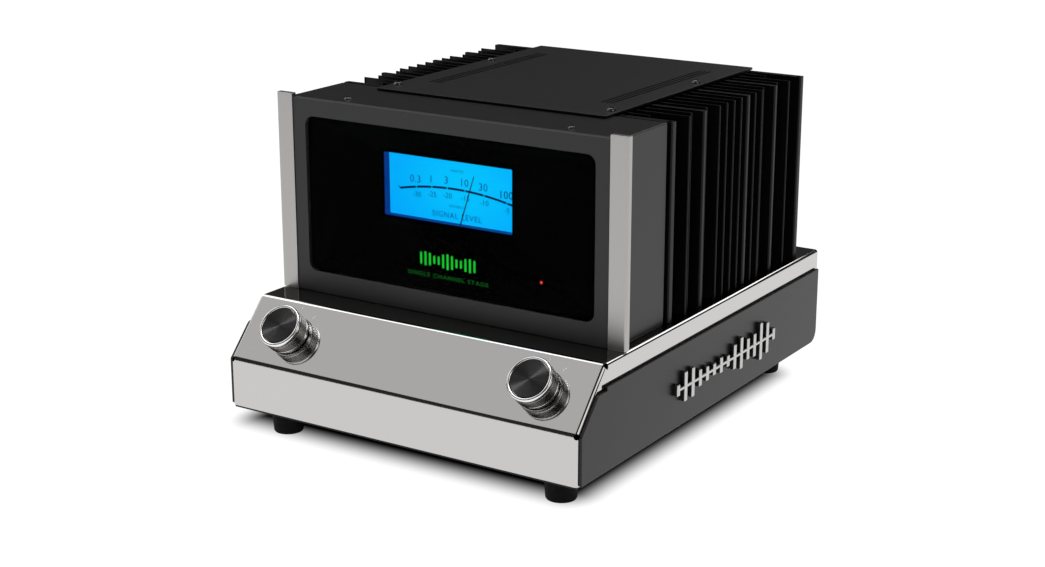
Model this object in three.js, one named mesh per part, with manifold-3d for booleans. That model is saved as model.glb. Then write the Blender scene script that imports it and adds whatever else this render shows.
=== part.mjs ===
// A monoblock power amplifier of half-rack width, in millimetres with +Z up. The controls face -Y and the
// connectors +Y. A folded stainless chassis on rubber feet carries a glass-fronted meter housing, two finned
// heat sinks with a cover between them, and its connectors on the rear panel.
import * as THREE from "three";
import { mergeVertices } from "three/addons/utils/BufferGeometryUtils.js";
import Module from "manifold-3d";

const wasm = await Module();
wasm.setup();

// ---------------------------------------------------------------- driving dimensions
const GAP = 0.3; // clearance between pieces that touch
const SHEET = 1.5; // sheet metal thickness

const chassis = { width: 250, depth: 315, bottom: 19.5, bend: 50, deck: 83.5, slopeRun: 30.5, reliefR: 1.7 };
const plate = { thick: 2, inset: 1.5, top: 70.8, step: 2.3, stepY: 29, corner: 4, rearCut: 8 };
const badge = { front: 107, rear: 241, middle: 45, bars: 15, barWidth: 3.4, tallest: 25, shortest: 7, thick: 3 };
const foot = { x: 100.5, front: 23.5, rear: 290, top: 10.4, bottom: 9.2, screwR: 3.5, screwDeep: 5 };

const panel = { front: 53, thick: 3, halfWidth: 112.7, top: 206 };
const glass = { halfWidth: 103.6, bottom: 97.4, top: 195.6, corner: 6 };
const trim = { inner: 113, outer: 125, front: 52.3, back: 56.5, top: 208.5, chamfer: 1.2 };
const housing = { halfWidth: 118, rear: 109.5 };

const meter = { halfWidth: 46, pivotZ: 115.5, floor: 63.3, dialFront: 61.2, needleFront: 57.6 };
const needle = { length: 59, tail: 9, width: 0.7, thick: 0.5, hubR: 3.5, tilt: 17.8 };

const sink = { inner: 74, root: 82, tip: 119.6, shortTip: 115.6, stubTip: 98, first: 115, pitch: 9.72, fins: 19 };
const sinkTop = 205.5;
const cover = { halfWidth: 83, front: 98.5, rear: 292, thick: 1.5, slotFront: 133, slotRear: 263 };

const knob = { x: 90, radius: 14.1, height: 14.1, lift: 1, discR: 11.6, shaftR: 3 };
const post = { x: 92, pitch: 26, z: 51, studR: 2.5, studEnd: 24, nutStart: 8, nutLength: 18, nutR: 8.5 };
const knobTurn = Math.atan2(chassis.deck - chassis.bend, chassis.slopeRun); // lean of the sloping panel

// The origin lies under the middle of the whole object: the knobs reach furthest forward, the posts furthest back.
const slopeMiddleY = chassis.slopeRun / 2;
const frontReach =
  slopeMiddleY - knob.height * Math.sin(knobTurn) - knob.radius * Math.cos(knobTurn);
const rearReach = chassis.depth + post.nutStart + post.nutLength;

// ---------------------------------------------------------------- materials
const material = (color, roughness, metalness) => new THREE.MeshStandardMaterial({ color, roughness, metalness });
const stainless = material(0xc8c6c4, 0.12, 1);
const satinAluminium = material(0xb4b3b2, 0.35, 1);
const blackAnodised = material(0x1a1a1b, 0.5, 0.6);
const greyLacquer = material(0x3c3b3c, 0.3, 0.2);
const blackSteel = material(0x1b1b1c, 0.5, 0.3);
const blackGlass = material(0x040404, 0.05, 0);
const rubber = material(0x0c0c0c, 0.8, 0);
const dialBlue = material(0x12a6ff, 0.6, 0);
const needleBlack = material(0x0a0f1c, 0.5, 0);
const lightGreen = material(0x28b43a, 0.5, 0);
const ledRed = material(0xd81818, 0.4, 0);
const blackPlastic = material(0x141414, 0.5, 0);
const redPlastic = material(0x8c1414, 0.4, 0);
const brass = material(0xc9a24a, 0.25, 1);
const copper = material(0x9a5a2c, 0.4, 0.8);
const boardGreen = material(0x14532a, 0.5, 0);
const blueSleeve = material(0x1c2f6b, 0.4, 0);
const clearGlass = material(0xdfe8ea, 0.05, 0);

// ---------------------------------------------------------------- shape helpers
// A closed geometry as a manifold-3d solid.
function solid(geometry) {
  const bare = geometry.index ? geometry.toNonIndexed() : geometry.clone();
  bare.deleteAttribute("normal");
  bare.deleteAttribute("uv");
  const merged = mergeVertices(bare, 1e-4);
  return new wasm.Manifold(
    new wasm.Mesh({
      numProp: 3,
      vertProperties: merged.attributes.position.array,
      triVerts: new Uint32Array(merged.index.array),
    }),
  );
}

// A manifold-3d solid as a geometry for a mesh.
function geometryOf(body) {
  const mesh = body.getMesh();
  const made = new THREE.BufferGeometry();
  made.setAttribute("position", new THREE.BufferAttribute(new Float32Array(mesh.vertProperties), 3));
  made.setIndex(new THREE.BufferAttribute(new Uint32Array(mesh.triVerts), 1));
  made.computeVertexNormals();
  return made;
}

const outline = (points) => new THREE.Shape(points.map(([a, b]) => new THREE.Vector2(a, b)));
const X = new THREE.Vector3(1, 0, 0);
const Y = new THREE.Vector3(0, 1, 0);
const Z = new THREE.Vector3(0, 0, 1);

function extruded(shape, depth) {
  return new THREE.ExtrudeGeometry(shape, { depth, bevelEnabled: false, curveSegments: 4 });
}

// A shape drawn in (y, z) and carried along X.
function prismX(shape, x0, x1) {
  const turn = new THREE.Matrix4().makeBasis(Y, Z, X).setPosition(x0, 0, 0);
  return solid(extruded(shape, x1 - x0).applyMatrix4(turn));
}

// A shape drawn in (x, z) and carried along Y.
function prismY(shape, y0, y1) {
  const turn = new THREE.Matrix4().makeBasis(X, Z, Y.clone().negate()).setPosition(0, y1, 0);
  return solid(extruded(shape, y1 - y0).applyMatrix4(turn));
}

// A shape drawn in (x, y) and carried along Z.
function prismZ(shape, z0, z1) {
  return solid(extruded(shape, z1 - z0).translate(0, 0, z0));
}

function block(x0, x1, y0, y1, z0, z1) {
  return solid(
    new THREE.BoxGeometry(x1 - x0, y1 - y0, z1 - z0).translate((x0 + x1) / 2, (y0 + y1) / 2, (z0 + z1) / 2),
  );
}

// A profile of [radius, height] points, from the bottom up, turned about Z.
function turned(profile, segments = 20) {
  const points = profile.map(([r, h]) => new THREE.Vector2(r, h));
  return solid(new THREE.LatheGeometry(points, segments).rotateX(Math.PI / 2));
}

const rod = (radius, z0, z1, segments = 16) =>
  turned([[0, z0], [radius, z0], [radius, z1], [0, z1]], segments);

// A solid made along Z, laid along +Y with its foot at (x, y, z).
const alongY = (body, x, y, z) => body.rotate([-90, 0, 0]).translate([x, y, z]);

function roundedRect(halfWidth, bottom, top, radius) {
  const shape = new THREE.Shape();
  shape.moveTo(-halfWidth + radius, bottom);
  shape.lineTo(halfWidth - radius, bottom);
  shape.absarc(halfWidth - radius, bottom + radius, radius, -Math.PI / 2, 0, false);
  shape.lineTo(halfWidth, top - radius);
  shape.absarc(halfWidth - radius, top - radius, radius, 0, Math.PI / 2, false);
  shape.lineTo(-halfWidth + radius, top);
  shape.absarc(-halfWidth + radius, top - radius, radius, Math.PI / 2, Math.PI, false);
  shape.lineTo(-halfWidth, bottom + radius);
  shape.absarc(-halfWidth + radius, bottom + radius, radius, Math.PI, 1.5 * Math.PI, false);
  return shape;
}

const amplifier = new THREE.Group();
const base = new THREE.Group(); // every piece below is placed from the middle of the chassis's front face
base.position.y = -(frontReach + rearReach) / 2;
amplifier.add(base);

function add(name, body, finish, parent = base) {
  const mesh = new THREE.Mesh(geometryOf(body), finish);
  mesh.name = name;
  parent.add(mesh);
  return mesh;
}

// ---------------------------------------------------------------- chassis: folded sheet, open below and behind
function chassisShell() {
  const half = chassis.width / 2;
  const run = chassis.slopeRun;
  const rise = chassis.deck - chassis.bend;
  const slope = Math.hypot(run, rise);
  // Where the inner faces of the bends meet, one sheet thickness inside.
  const innerBend = chassis.bend - SHEET * ((slope - rise) / run);
  const innerTopY = run + SHEET * ((slope - run) / rise);
  const outer = prismX(
    outline([
      [0, chassis.bottom],
      [chassis.depth, chassis.bottom],
      [chassis.depth, chassis.deck],
      [run, chassis.deck],
      [0, chassis.bend],
    ]),
    -half,
    half,
  );
  const inner = prismX(
    outline([
      [SHEET, chassis.bottom - 1],
      [chassis.depth + 1, chassis.bottom - 1],
      [chassis.depth + 1, chassis.deck - SHEET],
      [innerTopY, chassis.deck - SHEET],
      [SHEET, innerBend],
    ]),
    -half + SHEET,
    half - SHEET,
  );
  let shell = outer.subtract(inner);
  const well = block(-70, 70, 125, 285, chassis.deck - 5, chassis.deck + 5);
  const cableSlot = block(-30, 30, 72, 96, chassis.deck - 5, chassis.deck + 5);
  shell = shell.subtract(well).subtract(cableSlot);
  const lean = THREE.MathUtils.radToDeg(knobTurn);
  for (const side of [-1, 1]) {
    const shaftHole = rod(4.9, -6, 6).rotate([lean, 0, 0]);
    shell = shell.subtract(shaftHole.translate([side * knob.x, run / 2, chassis.bend + rise / 2]));
    // Round relief holes where three folds meet, drilled along the corner's diagonal.
    for (const [y, z, drop] of [[run, chassis.deck, 35], [0, chassis.bend, 60]]) {
      const relief = rod(chassis.reliefR, -6, 6, 10).rotate([drop, 0, 0]).rotate([0, 0, side * 45]);
      shell = shell.subtract(relief.translate([side * half, y, z]));
    }
  }
  return shell;
}
add("chassis_shell", chassisShell(), stainless);

// ---------------------------------------------------------------- side plates and their raised ornaments
function sidePlate(side) {
  const inset = plate.inset;
  const sin = Math.sin(knobTurn);
  const cos = Math.cos(knobTurn);
  // The front edge runs parallel to the sloping panel, a little inside it.
  const onSlope = (z) => ((z + 1.3 * inset * cos - chassis.bend) * cos) / sin + 1.3 * inset * sin;
  const shoulder = plate.top - plate.step;
  const low = chassis.bottom + GAP;
  const rear = chassis.depth - inset;
  const shape = outline([
    [inset, low],
    [rear - plate.rearCut, low],
    [rear - 0.3 * plate.rearCut, low + 0.3 * plate.rearCut],
    [rear, low + plate.rearCut],
    [rear, plate.top],
    [plate.stepY, plate.top],
    [plate.stepY, shoulder],
    [onSlope(shoulder) + plate.corner, shoulder],
    [onSlope(shoulder - 0.3 * plate.corner) + 0.3 * plate.corner, shoulder - 0.3 * plate.corner],
    [onSlope(shoulder - plate.corner), shoulder - plate.corner],
    [inset, chassis.bend - 1],
  ]);
  const start = chassis.width / 2 + GAP;
  const end = start + plate.thick - GAP;
  return side > 0 ? prismX(shape, start, end) : prismX(shape, -end, -start);
}

// A rail with upright bars whose heights follow a sound-level wave.
function sideBadge(side) {
  const start = chassis.width / 2 + plate.thick + GAP;
  const end = start + badge.thick - GAP;
  const [x0, x1] = side > 0 ? [start, end] : [-end, -start];
  let ornament = block(x0, x1, badge.front, badge.rear, badge.middle - 0.9, badge.middle + 0.9);
  const pitch = (badge.rear - badge.front - badge.barWidth) / (badge.bars - 1);
  for (let i = 0; i < badge.bars; i++) {
    const wave = Math.abs(Math.sin(0.9 * i) * Math.cos(0.23 * i + 0.4));
    const half = (badge.shortest + (badge.tallest - badge.shortest) * wave) / 2;
    const y = badge.front + pitch * i;
    ornament = ornament.add(block(x0, x1, y, y + badge.barWidth, badge.middle - half, badge.middle + half));
  }
  return ornament;
}
for (const [side, name] of [[-1, "left"], [1, "right"]]) {
  add("side_plate_" + name, sidePlate(side), greyLacquer);
  add("side_badge_" + name, sideBadge(side), satinAluminium);
}

// ---------------------------------------------------------------- bottom plate with air slots, and the feet
function bottomPlate() {
  const half = chassis.width / 2 - 1;
  let sheet = block(-half, half, 1, chassis.depth - 1, chassis.bottom - SHEET, chassis.bottom - GAP);
  for (let i = -2; i <= 2; i++) {
    const x = i * 24;
    sheet = sheet.subtract(block(x - 2, x + 2, 60, 100, 0, 30)).subtract(block(x - 2, x + 2, 255, 275, 0, 30));
  }
  return sheet;
}
add("bottom_plate", bottomPlate(), blackSteel);

const footHeight = chassis.bottom - SHEET - GAP;
for (const [end, y] of [["front", foot.front], ["rear", foot.rear]])
  for (const [side, name] of [[-1, "left"], [1, "right"]]) {
    const profile = [
      [0, foot.screwDeep],
      [foot.screwR, foot.screwDeep],
      [foot.screwR, 0],
      [foot.bottom - 1.2, 0],
      [foot.bottom, 1.4],
      [foot.top, footHeight - 2],
      [foot.top, footHeight],
      [0, footHeight],
    ];
    const mesh = add("foot_" + end + "_" + name, turned(profile, 18), rubber);
    mesh.position.set(side * foot.x, y, 0);
  }

// ---------------------------------------------------------------- rotary switches, shafts, knobs and their discs
const slopePanel = new THREE.Group(); // its local +Z is the sloping panel's outward normal
slopePanel.position.set(0, slopeMiddleY, (chassis.bend + chassis.deck) / 2);
slopePanel.rotation.x = knobTurn;
base.add(slopePanel);

// Switch body behind the panel, its threaded bushing through the hole and the nut in front.
function rotarySwitch() {
  const profile = [
    [0, -20],
    [12.5, -20],
    [12.5, -SHEET - GAP],
    [4.5, -SHEET - GAP],
    [4.5, GAP],
    [7, GAP],
    [7, 2.6],
    [4.5, 2.6],
    [4.5, 4.2],
    [0, 4.2],
  ];
  return turned(profile, 16).subtract(rod(knob.shaftR + GAP, -14, 10));
}

// Aluminium knob: base bead, neck, grip, front rim, a recess for the disc, a shaft bore and a hollow skirt.
function knobBody() {
  const top = knob.height;
  const bore = knob.shaftR + GAP;
  const profile = [
    [0, 11],
    [bore, 11],
    [bore, 5],
    [9.2, 5],
    [9.2, knob.lift],
    [13.5, knob.lift],
    [13.5, knob.lift + 2],
    [knob.radius, knob.lift + 2.4],
    [knob.radius, top - 1.2],
    [knob.radius - 1, top],
    [knob.discR + GAP, top],
    [knob.discR + GAP, top - 1.4],
    [0, top - 1.4],
  ];
  return turned(profile, 24);
}

function knobDisc() {
  const low = knob.height - 1.4 + GAP;
  return turned([[0, low], [knob.discR, low], [knob.discR, low + 0.9], [0, low + 0.5]], 24);
}
for (const [side, name] of [[-1, "selector"], [1, "power"]]) {
  const control = new THREE.Group();
  control.position.x = side * knob.x;
  slopePanel.add(control);
  add(name + "_switch", rotarySwitch(), blackPlastic, control);
  add(name + "_shaft", rod(knob.shaftR, -13.5, 10.7), brass, control);
  add(name + "_knob", knobBody(), satinAluminium, control);
  add(name + "_knob_disc", knobDisc(), blackAnodised, control);
}

// ---------------------------------------------------------------- front panel: bezel, glass and end trims
const deckTop = chassis.deck + GAP;
const bezelFace = outline([
  [-panel.halfWidth, deckTop],
  [panel.halfWidth, deckTop],
  [panel.halfWidth, panel.top],
  [-panel.halfWidth, panel.top],
]);
bezelFace.holes.push(roundedRect(glass.halfWidth, glass.bottom, glass.top, glass.corner));
add("front_bezel", prismY(bezelFace, panel.front, panel.front + panel.thick), blackAnodised);

const paneShape = roundedRect(
  glass.halfWidth - GAP,
  glass.bottom + GAP,
  glass.top - GAP,
  glass.corner - GAP,
);
add("front_glass", prismY(paneShape, panel.front + 0.2, panel.front + panel.thick), blackGlass);

for (const [side, name] of [[-1, "left"], [1, "right"]]) {
  const c = trim.chamfer;
  const section = [
    [trim.inner, trim.front],
    [trim.outer - c, trim.front],
    [trim.outer, trim.front + c],
    [trim.outer, trim.back],
    [trim.inner, trim.back],
  ].map(([x, y]) => [side * x, y]);
  add("trim_" + name, prismZ(outline(section), deckTop, trim.top), satinAluminium);
}

// ---------------------------------------------------------------- meter housing box behind the front panel
const boxFront = panel.front + panel.thick + GAP + 0.5;
function housingBox() {
  const w = housing.halfWidth;
  const shell = block(-w, w, boxFront, housing.rear, deckTop, panel.top);
  const inside = block(-w + SHEET, w - SHEET, boxFront - 1, housing.rear - SHEET, deckTop + SHEET, panel.top - SHEET);
  return shell.subtract(inside).subtract(block(-30, 30, 72, 96, deckTop - 5, deckTop + 5));
}
add("meter_housing", housingBox(), greyLacquer);

// ---------------------------------------------------------------- the moving-coil meter
const paneBack = panel.front + panel.thick + GAP;
const emblem = { halfWidth: 40, bottom: 102, top: 127, thick: 0.8 };
const led = { x: 66, z: 115, radius: 1.5, length: 5 };
const frameOuter = { halfWidth: 50, bottom: 100, top: 185, back: 69 };

function meterFrame() {
  const wall = block(
    -frameOuter.halfWidth,
    frameOuter.halfWidth,
    paneBack,
    frameOuter.back,
    frameOuter.bottom,
    frameOuter.top,
  );
  const pocket = block(-meter.halfWidth, meter.halfWidth, paneBack - 1, meter.floor, 104, 181);
  const emblemSeat = block(
    -emblem.halfWidth - 1,
    emblem.halfWidth + 1,
    paneBack - 1,
    paneBack + emblem.thick + GAP,
    emblem.bottom - 3,
    emblem.top + GAP,
  );
  return wall.subtract(pocket).subtract(emblemSeat);
}
add("meter_frame", meterFrame(), blackPlastic);

function meterDial() {
  const half = meter.halfWidth - GAP;
  const face = block(-half, half, meter.dialFront, meter.floor - GAP, 118, 181 - GAP);
  return face.subtract(alongY(rod(10.5, -2, 6), 0, meter.dialFront, meter.pivotZ));
}
add("meter_dial", meterDial(), dialBlue);

// Magnet and coil can below the dial, with the pivot post that carries the needle.
function meterMovement() {
  const front = meter.needleFront + 1.8;
  const can = alongY(rod(10, 0, meter.floor - GAP - front), 0, front, meter.pivotZ);
  return can.add(alongY(rod(1, 0, 4), 0, meter.needleFront - 0.2, meter.pivotZ));
}
add("meter_movement", meterMovement(), satinAluminium);

function meterNeedle() {
  const w = needle.width / 2;
  const y = meter.needleFront;
  const hub = alongY(rod(needle.hubR, 0, 1.4), 0, y, 0);
  const pointer = block(-w, w, y + 0.2, y + 0.2 + needle.thick, 0, needle.length);
  const tail = block(-1.2, 1.2, y + 0.2, y + 1.2, -needle.tail, 0);
  return hub.add(pointer).add(tail).subtract(alongY(rod(1 + GAP, 0, 4), 0, y - 0.8, 0));
}
const pointer = add("meter_needle", meterNeedle(), needleBlack);
pointer.position.z = meter.pivotZ;
pointer.rotation.y = THREE.MathUtils.degToRad(needle.tilt);

add(
  "emblem_light_guide",
  block(
    -emblem.halfWidth,
    emblem.halfWidth,
    paneBack,
    paneBack + emblem.thick,
    emblem.bottom,
    emblem.top,
  ),
  lightGreen,
);
add("power_led", alongY(rod(led.radius, 0, led.length), led.x, paneBack, led.z), ledRed);

// ---------------------------------------------------------------- heat sinks: one extrusion each, fins outwards
// Even pitch, with heavy fins at the ends and in between, short ones beside them, and a stub beside each end fin.
function finOf(index) {
  const heavy = { 0: 2.6, 4: 1.9, 10: 1.9, 14: 1.8, 18: 2.6 };
  if (index in heavy) return { half: heavy[index], tip: sink.tip };
  if (index === 1 || index === 17) return { half: 0.8, tip: sink.stubTip };
  const isShort = index === 3 || index === 5 || index === 13 || index === 15;
  return { half: 0.8, tip: isShort ? sink.shortTip : sink.tip };
}

const sinkRear = sink.first + sink.pitch * (sink.fins - 1) + finOf(sink.fins - 1).half;

function sinkSection(side) {
  const points = [[sink.inner, sink.first - finOf(0).half]];
  for (let i = 0; i < sink.fins; i++) {
    const { half, tip } = finOf(i);
    const y = sink.first + sink.pitch * i;
    if (i > 0) points.push([sink.root, y - half]);
    points.push([tip, y - half], [tip, y + half]);
    if (i < sink.fins - 1) points.push([sink.root, y + half]);
  }
  points.push([sink.inner, sinkRear]);
  return outline(points.map(([x, y]) => [side * x, y]));
}
for (const [side, name] of [[-1, "left"], [1, "right"]])
  add("heat_sink_" + name, prismZ(sinkSection(side), deckTop, sinkTop), blackAnodised);

// ---------------------------------------------------------------- top cover, its screws, and the panel behind
const coverBottom = panel.top + GAP;
const coverTop = coverBottom + cover.thick;
const screw = { x: 77.7, front: 114.5, rear: 221, shankR: 1.4, headR: 2.9, headHigh: 1.6 };

function topCover() {
  let sheet = block(-cover.halfWidth, cover.halfWidth, cover.front, cover.rear, coverBottom, coverTop);
  for (const side of [-1, 1]) {
    for (let i = -1; i <= 1; i++) {
      const x = side * 63 + i * 3.4;
      sheet = sheet.subtract(block(x - 0.7, x + 0.7, cover.slotFront, cover.slotRear, 200, 220));
    }
    for (const y of [screw.front, screw.rear])
      sheet = sheet.subtract(rod(screw.shankR + GAP, 200, 220, 10).translate([side * screw.x, y, 0]));
  }
  return sheet;
}
add("top_cover", topCover(), blackSteel);

for (const [end, y] of [["front", screw.front], ["rear", screw.rear]])
  for (const [side, name] of [[-1, "left"], [1, "right"]]) {
    const profile = [
      [0, -cover.thick],
      [screw.shankR, -cover.thick],
      [screw.shankR, GAP],
      [screw.headR, GAP],
      [screw.headR, GAP + 0.6],
      [screw.headR * 0.7, GAP + screw.headHigh],
      [0, GAP + screw.headHigh],
    ];
    const mesh = add("cover_screw_" + end + "_" + name, turned(profile, 12), blackSteel);
    mesh.position.set(side * screw.x, y, coverTop);
  }

// The panel that closes the space between the heat sinks at the rear.
add(
  "upper_rear_panel",
  block(-sink.inner + GAP, sink.inner - GAP, sinkRear - 2, sinkRear, deckTop, panel.top),
  blackSteel,
);

// ---------------------------------------------------------------- inside: supply, board and output devices
const transformer = { x: -48, y: 190, outer: 56, inner: 17, bottom: 20.5, top: 68 };
function toroid() {
  const { outer, inner, bottom, top } = transformer;
  const r = 9; // rounding of the wound ring
  return turned(
    [
      [inner, bottom],
      [outer - r, bottom],
      [outer, bottom + r],
      [outer, top - r],
      [outer - r, top],
      [inner, top],
      [inner, bottom],
    ],
    24,
  );
}
add("power_transformer", toroid(), copper).position.set(transformer.x, transformer.y, 0);
const clampProfile = [
  [0, transformer.bottom],
  [4, transformer.bottom],
  [4, transformer.top + GAP],
  [28, transformer.top + GAP],
  [30, transformer.top + 2.3],
  [8, transformer.top + 2.3],
  [8, transformer.top + 7],
  [0, transformer.top + 7],
];
add("transformer_clamp", turned(clampProfile, 16), blackSteel).position.set(transformer.x, transformer.y, 0);

for (const [name, y] of [["front", 158], ["rear", 222]]) {
  const can = turned([[0, 20.5], [25, 20.5], [25, 123], [24, 125], [0, 125]], 20);
  add("filter_capacitor_" + name, can, blueSleeve).position.set(42, y, 0);
}

function amplifierBoard() {
  let board = block(-64, 64, 130, 280, 140, 141.6);
  for (let i = 0; i < 4; i++) {
    const y = 150 + i * 33;
    board = board.add(block(-50, -34, y, y + 12, 141, 158)).add(block(20, 48, y, y + 8, 141, 150));
  }
  return board;
}
add("amplifier_board", amplifierBoard(), boardGreen);

// Four output transistors under one clamp bar, against the heat sink's inner face.
function outputDevices(side) {
  const face = sink.inner - GAP;
  const flip = (near, far, y0, y1, z0, z1) =>
    side > 0 ? block(near, far, y0, y1, z0, z1) : block(-far, -near, y0, y1, z0, z1);
  let bank = flip(face - 7, face - 4.8, 140, 268, 172, 178);
  for (let i = 0; i < 4; i++) bank = bank.add(flip(face - 5, face, 146 + i * 32, 162 + i * 32, 162, 183));
  return bank;
}
for (const [side, name] of [[-1, "left"], [1, "right"]])
  add("output_devices_" + name, outputDevices(side), blackPlastic);

// ---------------------------------------------------------------- rear panel and its connectors
const rear = chassis.depth; // outer face of the rear panel
const outside = rear + GAP; // where a connector's flange starts
const inlet = { x: -85, z: 51, flangeX: 25, flangeZ: 17, bodyX: 13.6, bodyZ: 15.6, deep: 24 };
const socket = { halfWidth: 12, bottom: -0.8, top: 15, deep: 15, corner: 4 };
const drawer = { halfWidth: 11.4, bottom: -12.6, top: -4.4, deep: 12, lip: 1.2, lipThick: 1.6 };
const xlr = { x: -28, z: 51, flangeX: 13, flangeZ: 15.5, bodyR: 11.6 };
const rca = { x: 8, z: 51 };
const toggle = { x: 36, z: 51, rest: 11 };

function rearPanel() {
  const half = chassis.width / 2 - SHEET - GAP;
  const top = chassis.deck - SHEET - GAP;
  let sheet = block(-half, half, rear - SHEET, rear, chassis.bottom + GAP, top);
  const opening = (x, z, w, h) => block(x - w, x + w, rear - 5, rear + 5, z - h, z + h);
  const hole = (x, z, r) => alongY(rod(r, -5, 5), x, rear, z);
  sheet = sheet.subtract(opening(inlet.x, inlet.z, inlet.bodyX + GAP, inlet.bodyZ + GAP));
  sheet = sheet.subtract(hole(xlr.x, xlr.z, xlr.bodyR + GAP)).subtract(opening(xlr.x, xlr.z + 10, 3.8, 3.8));
  sheet = sheet.subtract(hole(rca.x, rca.z, 4.5)).subtract(hole(toggle.x, toggle.z, 3.4));
  for (const i of [-0.5, 0.5]) sheet = sheet.subtract(hole(post.x + i * post.pitch, post.z, 4.3));
  return sheet;
}
add("rear_panel", rearPanel(), blackSteel);

// Mains inlet: flange, body, a socket with three blades, and a slot below it for the fuse drawer.
const inletGroup = new THREE.Group();
inletGroup.position.set(inlet.x, outside, inlet.z);
base.add(inletGroup);

function mainsInlet() {
  const flange = block(-inlet.flangeX, inlet.flangeX, 0, 2.5, -inlet.flangeZ, inlet.flangeZ);
  const body = block(-inlet.bodyX, inlet.bodyX, -inlet.deep, 0.5, -inlet.bodyZ, inlet.bodyZ);
  const c = socket.corner;
  const mouth = outline([
    [-socket.halfWidth, socket.bottom],
    [socket.halfWidth, socket.bottom],
    [socket.halfWidth, socket.top - c],
    [socket.halfWidth - c, socket.top],
    [-socket.halfWidth + c, socket.top],
    [-socket.halfWidth, socket.top - c],
  ]);
  let made = flange.add(body).subtract(prismY(mouth, 2.5 - socket.deep, 5));
  const blade = (x, z) => block(x - 1, x + 1, 1 - socket.deep, 0.5, z - 2, z + 2);
  made = made.add(blade(-7, 5.2)).add(blade(7, 5.2)).add(blade(0, 9.2));
  const w = drawer.halfWidth + GAP;
  return made.subtract(block(-w, w, 2.5 - drawer.deep - 2, 5, drawer.bottom - GAP, drawer.top + GAP));
}
add("mains_inlet", mainsInlet(), blackPlastic, inletGroup);

// The drawer: a tray with a trough across it for the fuse, and a lip to pull.
function fuseDrawer() {
  const { halfWidth, bottom, top, deep, lip, lipThick } = drawer;
  const tray = block(-halfWidth, halfWidth, 2.5 - deep, 3, bottom, top);
  const face = block(
    -halfWidth - lip,
    halfWidth + lip,
    2.5 + GAP,
    2.5 + GAP + lipThick,
    bottom - lip,
    top + lip,
  );
  return tray.add(face).subtract(block(-10.4, 10.4, -7.6, -1.2, bottom + 1.2, top + 1));
}
add("fuse_drawer", fuseDrawer(), blackPlastic, inletGroup);
const fuse = add("mains_fuse", turned([[0, -10], [2.6, -10], [2.6, 10], [0, 10]], 16), clearGlass, inletGroup);
fuse.rotation.y = Math.PI / 2;
fuse.position.set(0, -4.4, drawer.bottom + 1.2 + 2.6 + GAP);

// Balanced input: square flange, round barrel with a ring groove and three contact holes, and a release tab.
const xlrGroup = new THREE.Group();
xlrGroup.position.set(xlr.x, outside, xlr.z);
base.add(xlrGroup);
const tab = { halfWidth: 3.2, bottom: 9.4, high: 3.6, back: -2.6, front: 4, travel: 1.5 };

function balancedInput() {
  const flange = prismY(roundedRect(xlr.flangeX, -xlr.flangeZ, xlr.flangeZ, 2), 0, 2.2);
  const barrel = alongY(rod(xlr.bodyR, -20, 2, 20), 0, 0, 0);
  const groove = turned([[7.6, -8], [8.9, -8], [8.9, 3], [7.6, 3], [7.6, -8]], 20);
  let made = flange.add(barrel).subtract(alongY(groove, 0, 0, 0));
  for (const turn of [90, 210, 330]) {
    const a = THREE.MathUtils.degToRad(turn);
    made = made.subtract(alongY(rod(1.3, -8, 3, 8), 4.4 * Math.cos(a), 0, 4.4 * Math.sin(a)));
  }
  const w = tab.halfWidth + GAP;
  return made.subtract(block(-w, w, tab.back - tab.travel - GAP, 3, tab.bottom - GAP, tab.bottom + tab.high + GAP));
}
add("balanced_input", balancedInput(), satinAluminium, xlrGroup);
const tabBody = block(-tab.halfWidth, tab.halfWidth, tab.back, tab.front, tab.bottom, tab.bottom + tab.high);
add("balanced_input_tab", tabBody, satinAluminium, xlrGroup);

// Unbalanced input: hexagonal body, barrel and a contact hole.
function unbalancedInput() {
  const hexagon = rod(6.6, 0, 3, 6);
  const barrel = rod(4.2, -14, 12);
  return alongY(hexagon.add(barrel).subtract(rod(1.65, 3, 14, 12)), rca.x, outside, rca.z);
}
add("unbalanced_input", unbalancedInput(), brass);

// Input selector toggle: case inside, threaded bushing with nut outside, and a bat lever on a ball.
const toggleGroup = new THREE.Group();
toggleGroup.position.set(toggle.x, outside, toggle.z);
base.add(toggleGroup);

function toggleCase() {
  const inside = block(-6.4, 6.4, -14, -SHEET - 2 * GAP, -4, 4);
  const bushing = rod(3, -4, 6.5, 14).add(rod(5, 0, 1.8, 6));
  const mouth = turned([[0, -3.4], [2.4, -3.4], [2.4, 1.5], [2.7, 7.5], [0, 7.5]], 14);
  return inside.add(alongY(bushing.subtract(mouth), 0, 0, 0));
}
add("input_toggle_case", toggleCase(), satinAluminium, toggleGroup);
const bat = turned([[0, -1.8], [1.3, -1.3], [1.8, 0], [0.9, 1.8], [1.5, 14.5], [0, 16]], 10);
const lever = add("input_toggle_lever", alongY(bat, 0, 0, 0), satinAluminium, toggleGroup);
lever.rotation.x = THREE.MathUtils.degToRad(toggle.rest);

// Speaker terminals: insulated base with a threaded stud, a clamping collar and a thumb nut.
function terminalPost() {
  const profile = [
    [0, -16],
    [4, -16],
    [4, 0],
    [9, 0],
    [9, 5.2],
    [post.studR, 5.2],
    [post.studR, post.studEnd],
    [0, post.studEnd],
  ];
  return turned(profile, 18);
}

function clampCollar() {
  const bore = post.studR + GAP;
  return turned([[bore, 5.5], [7, 5.5], [7, 7.4], [bore, 7.4], [bore, 5.5]], 18);
}

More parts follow.
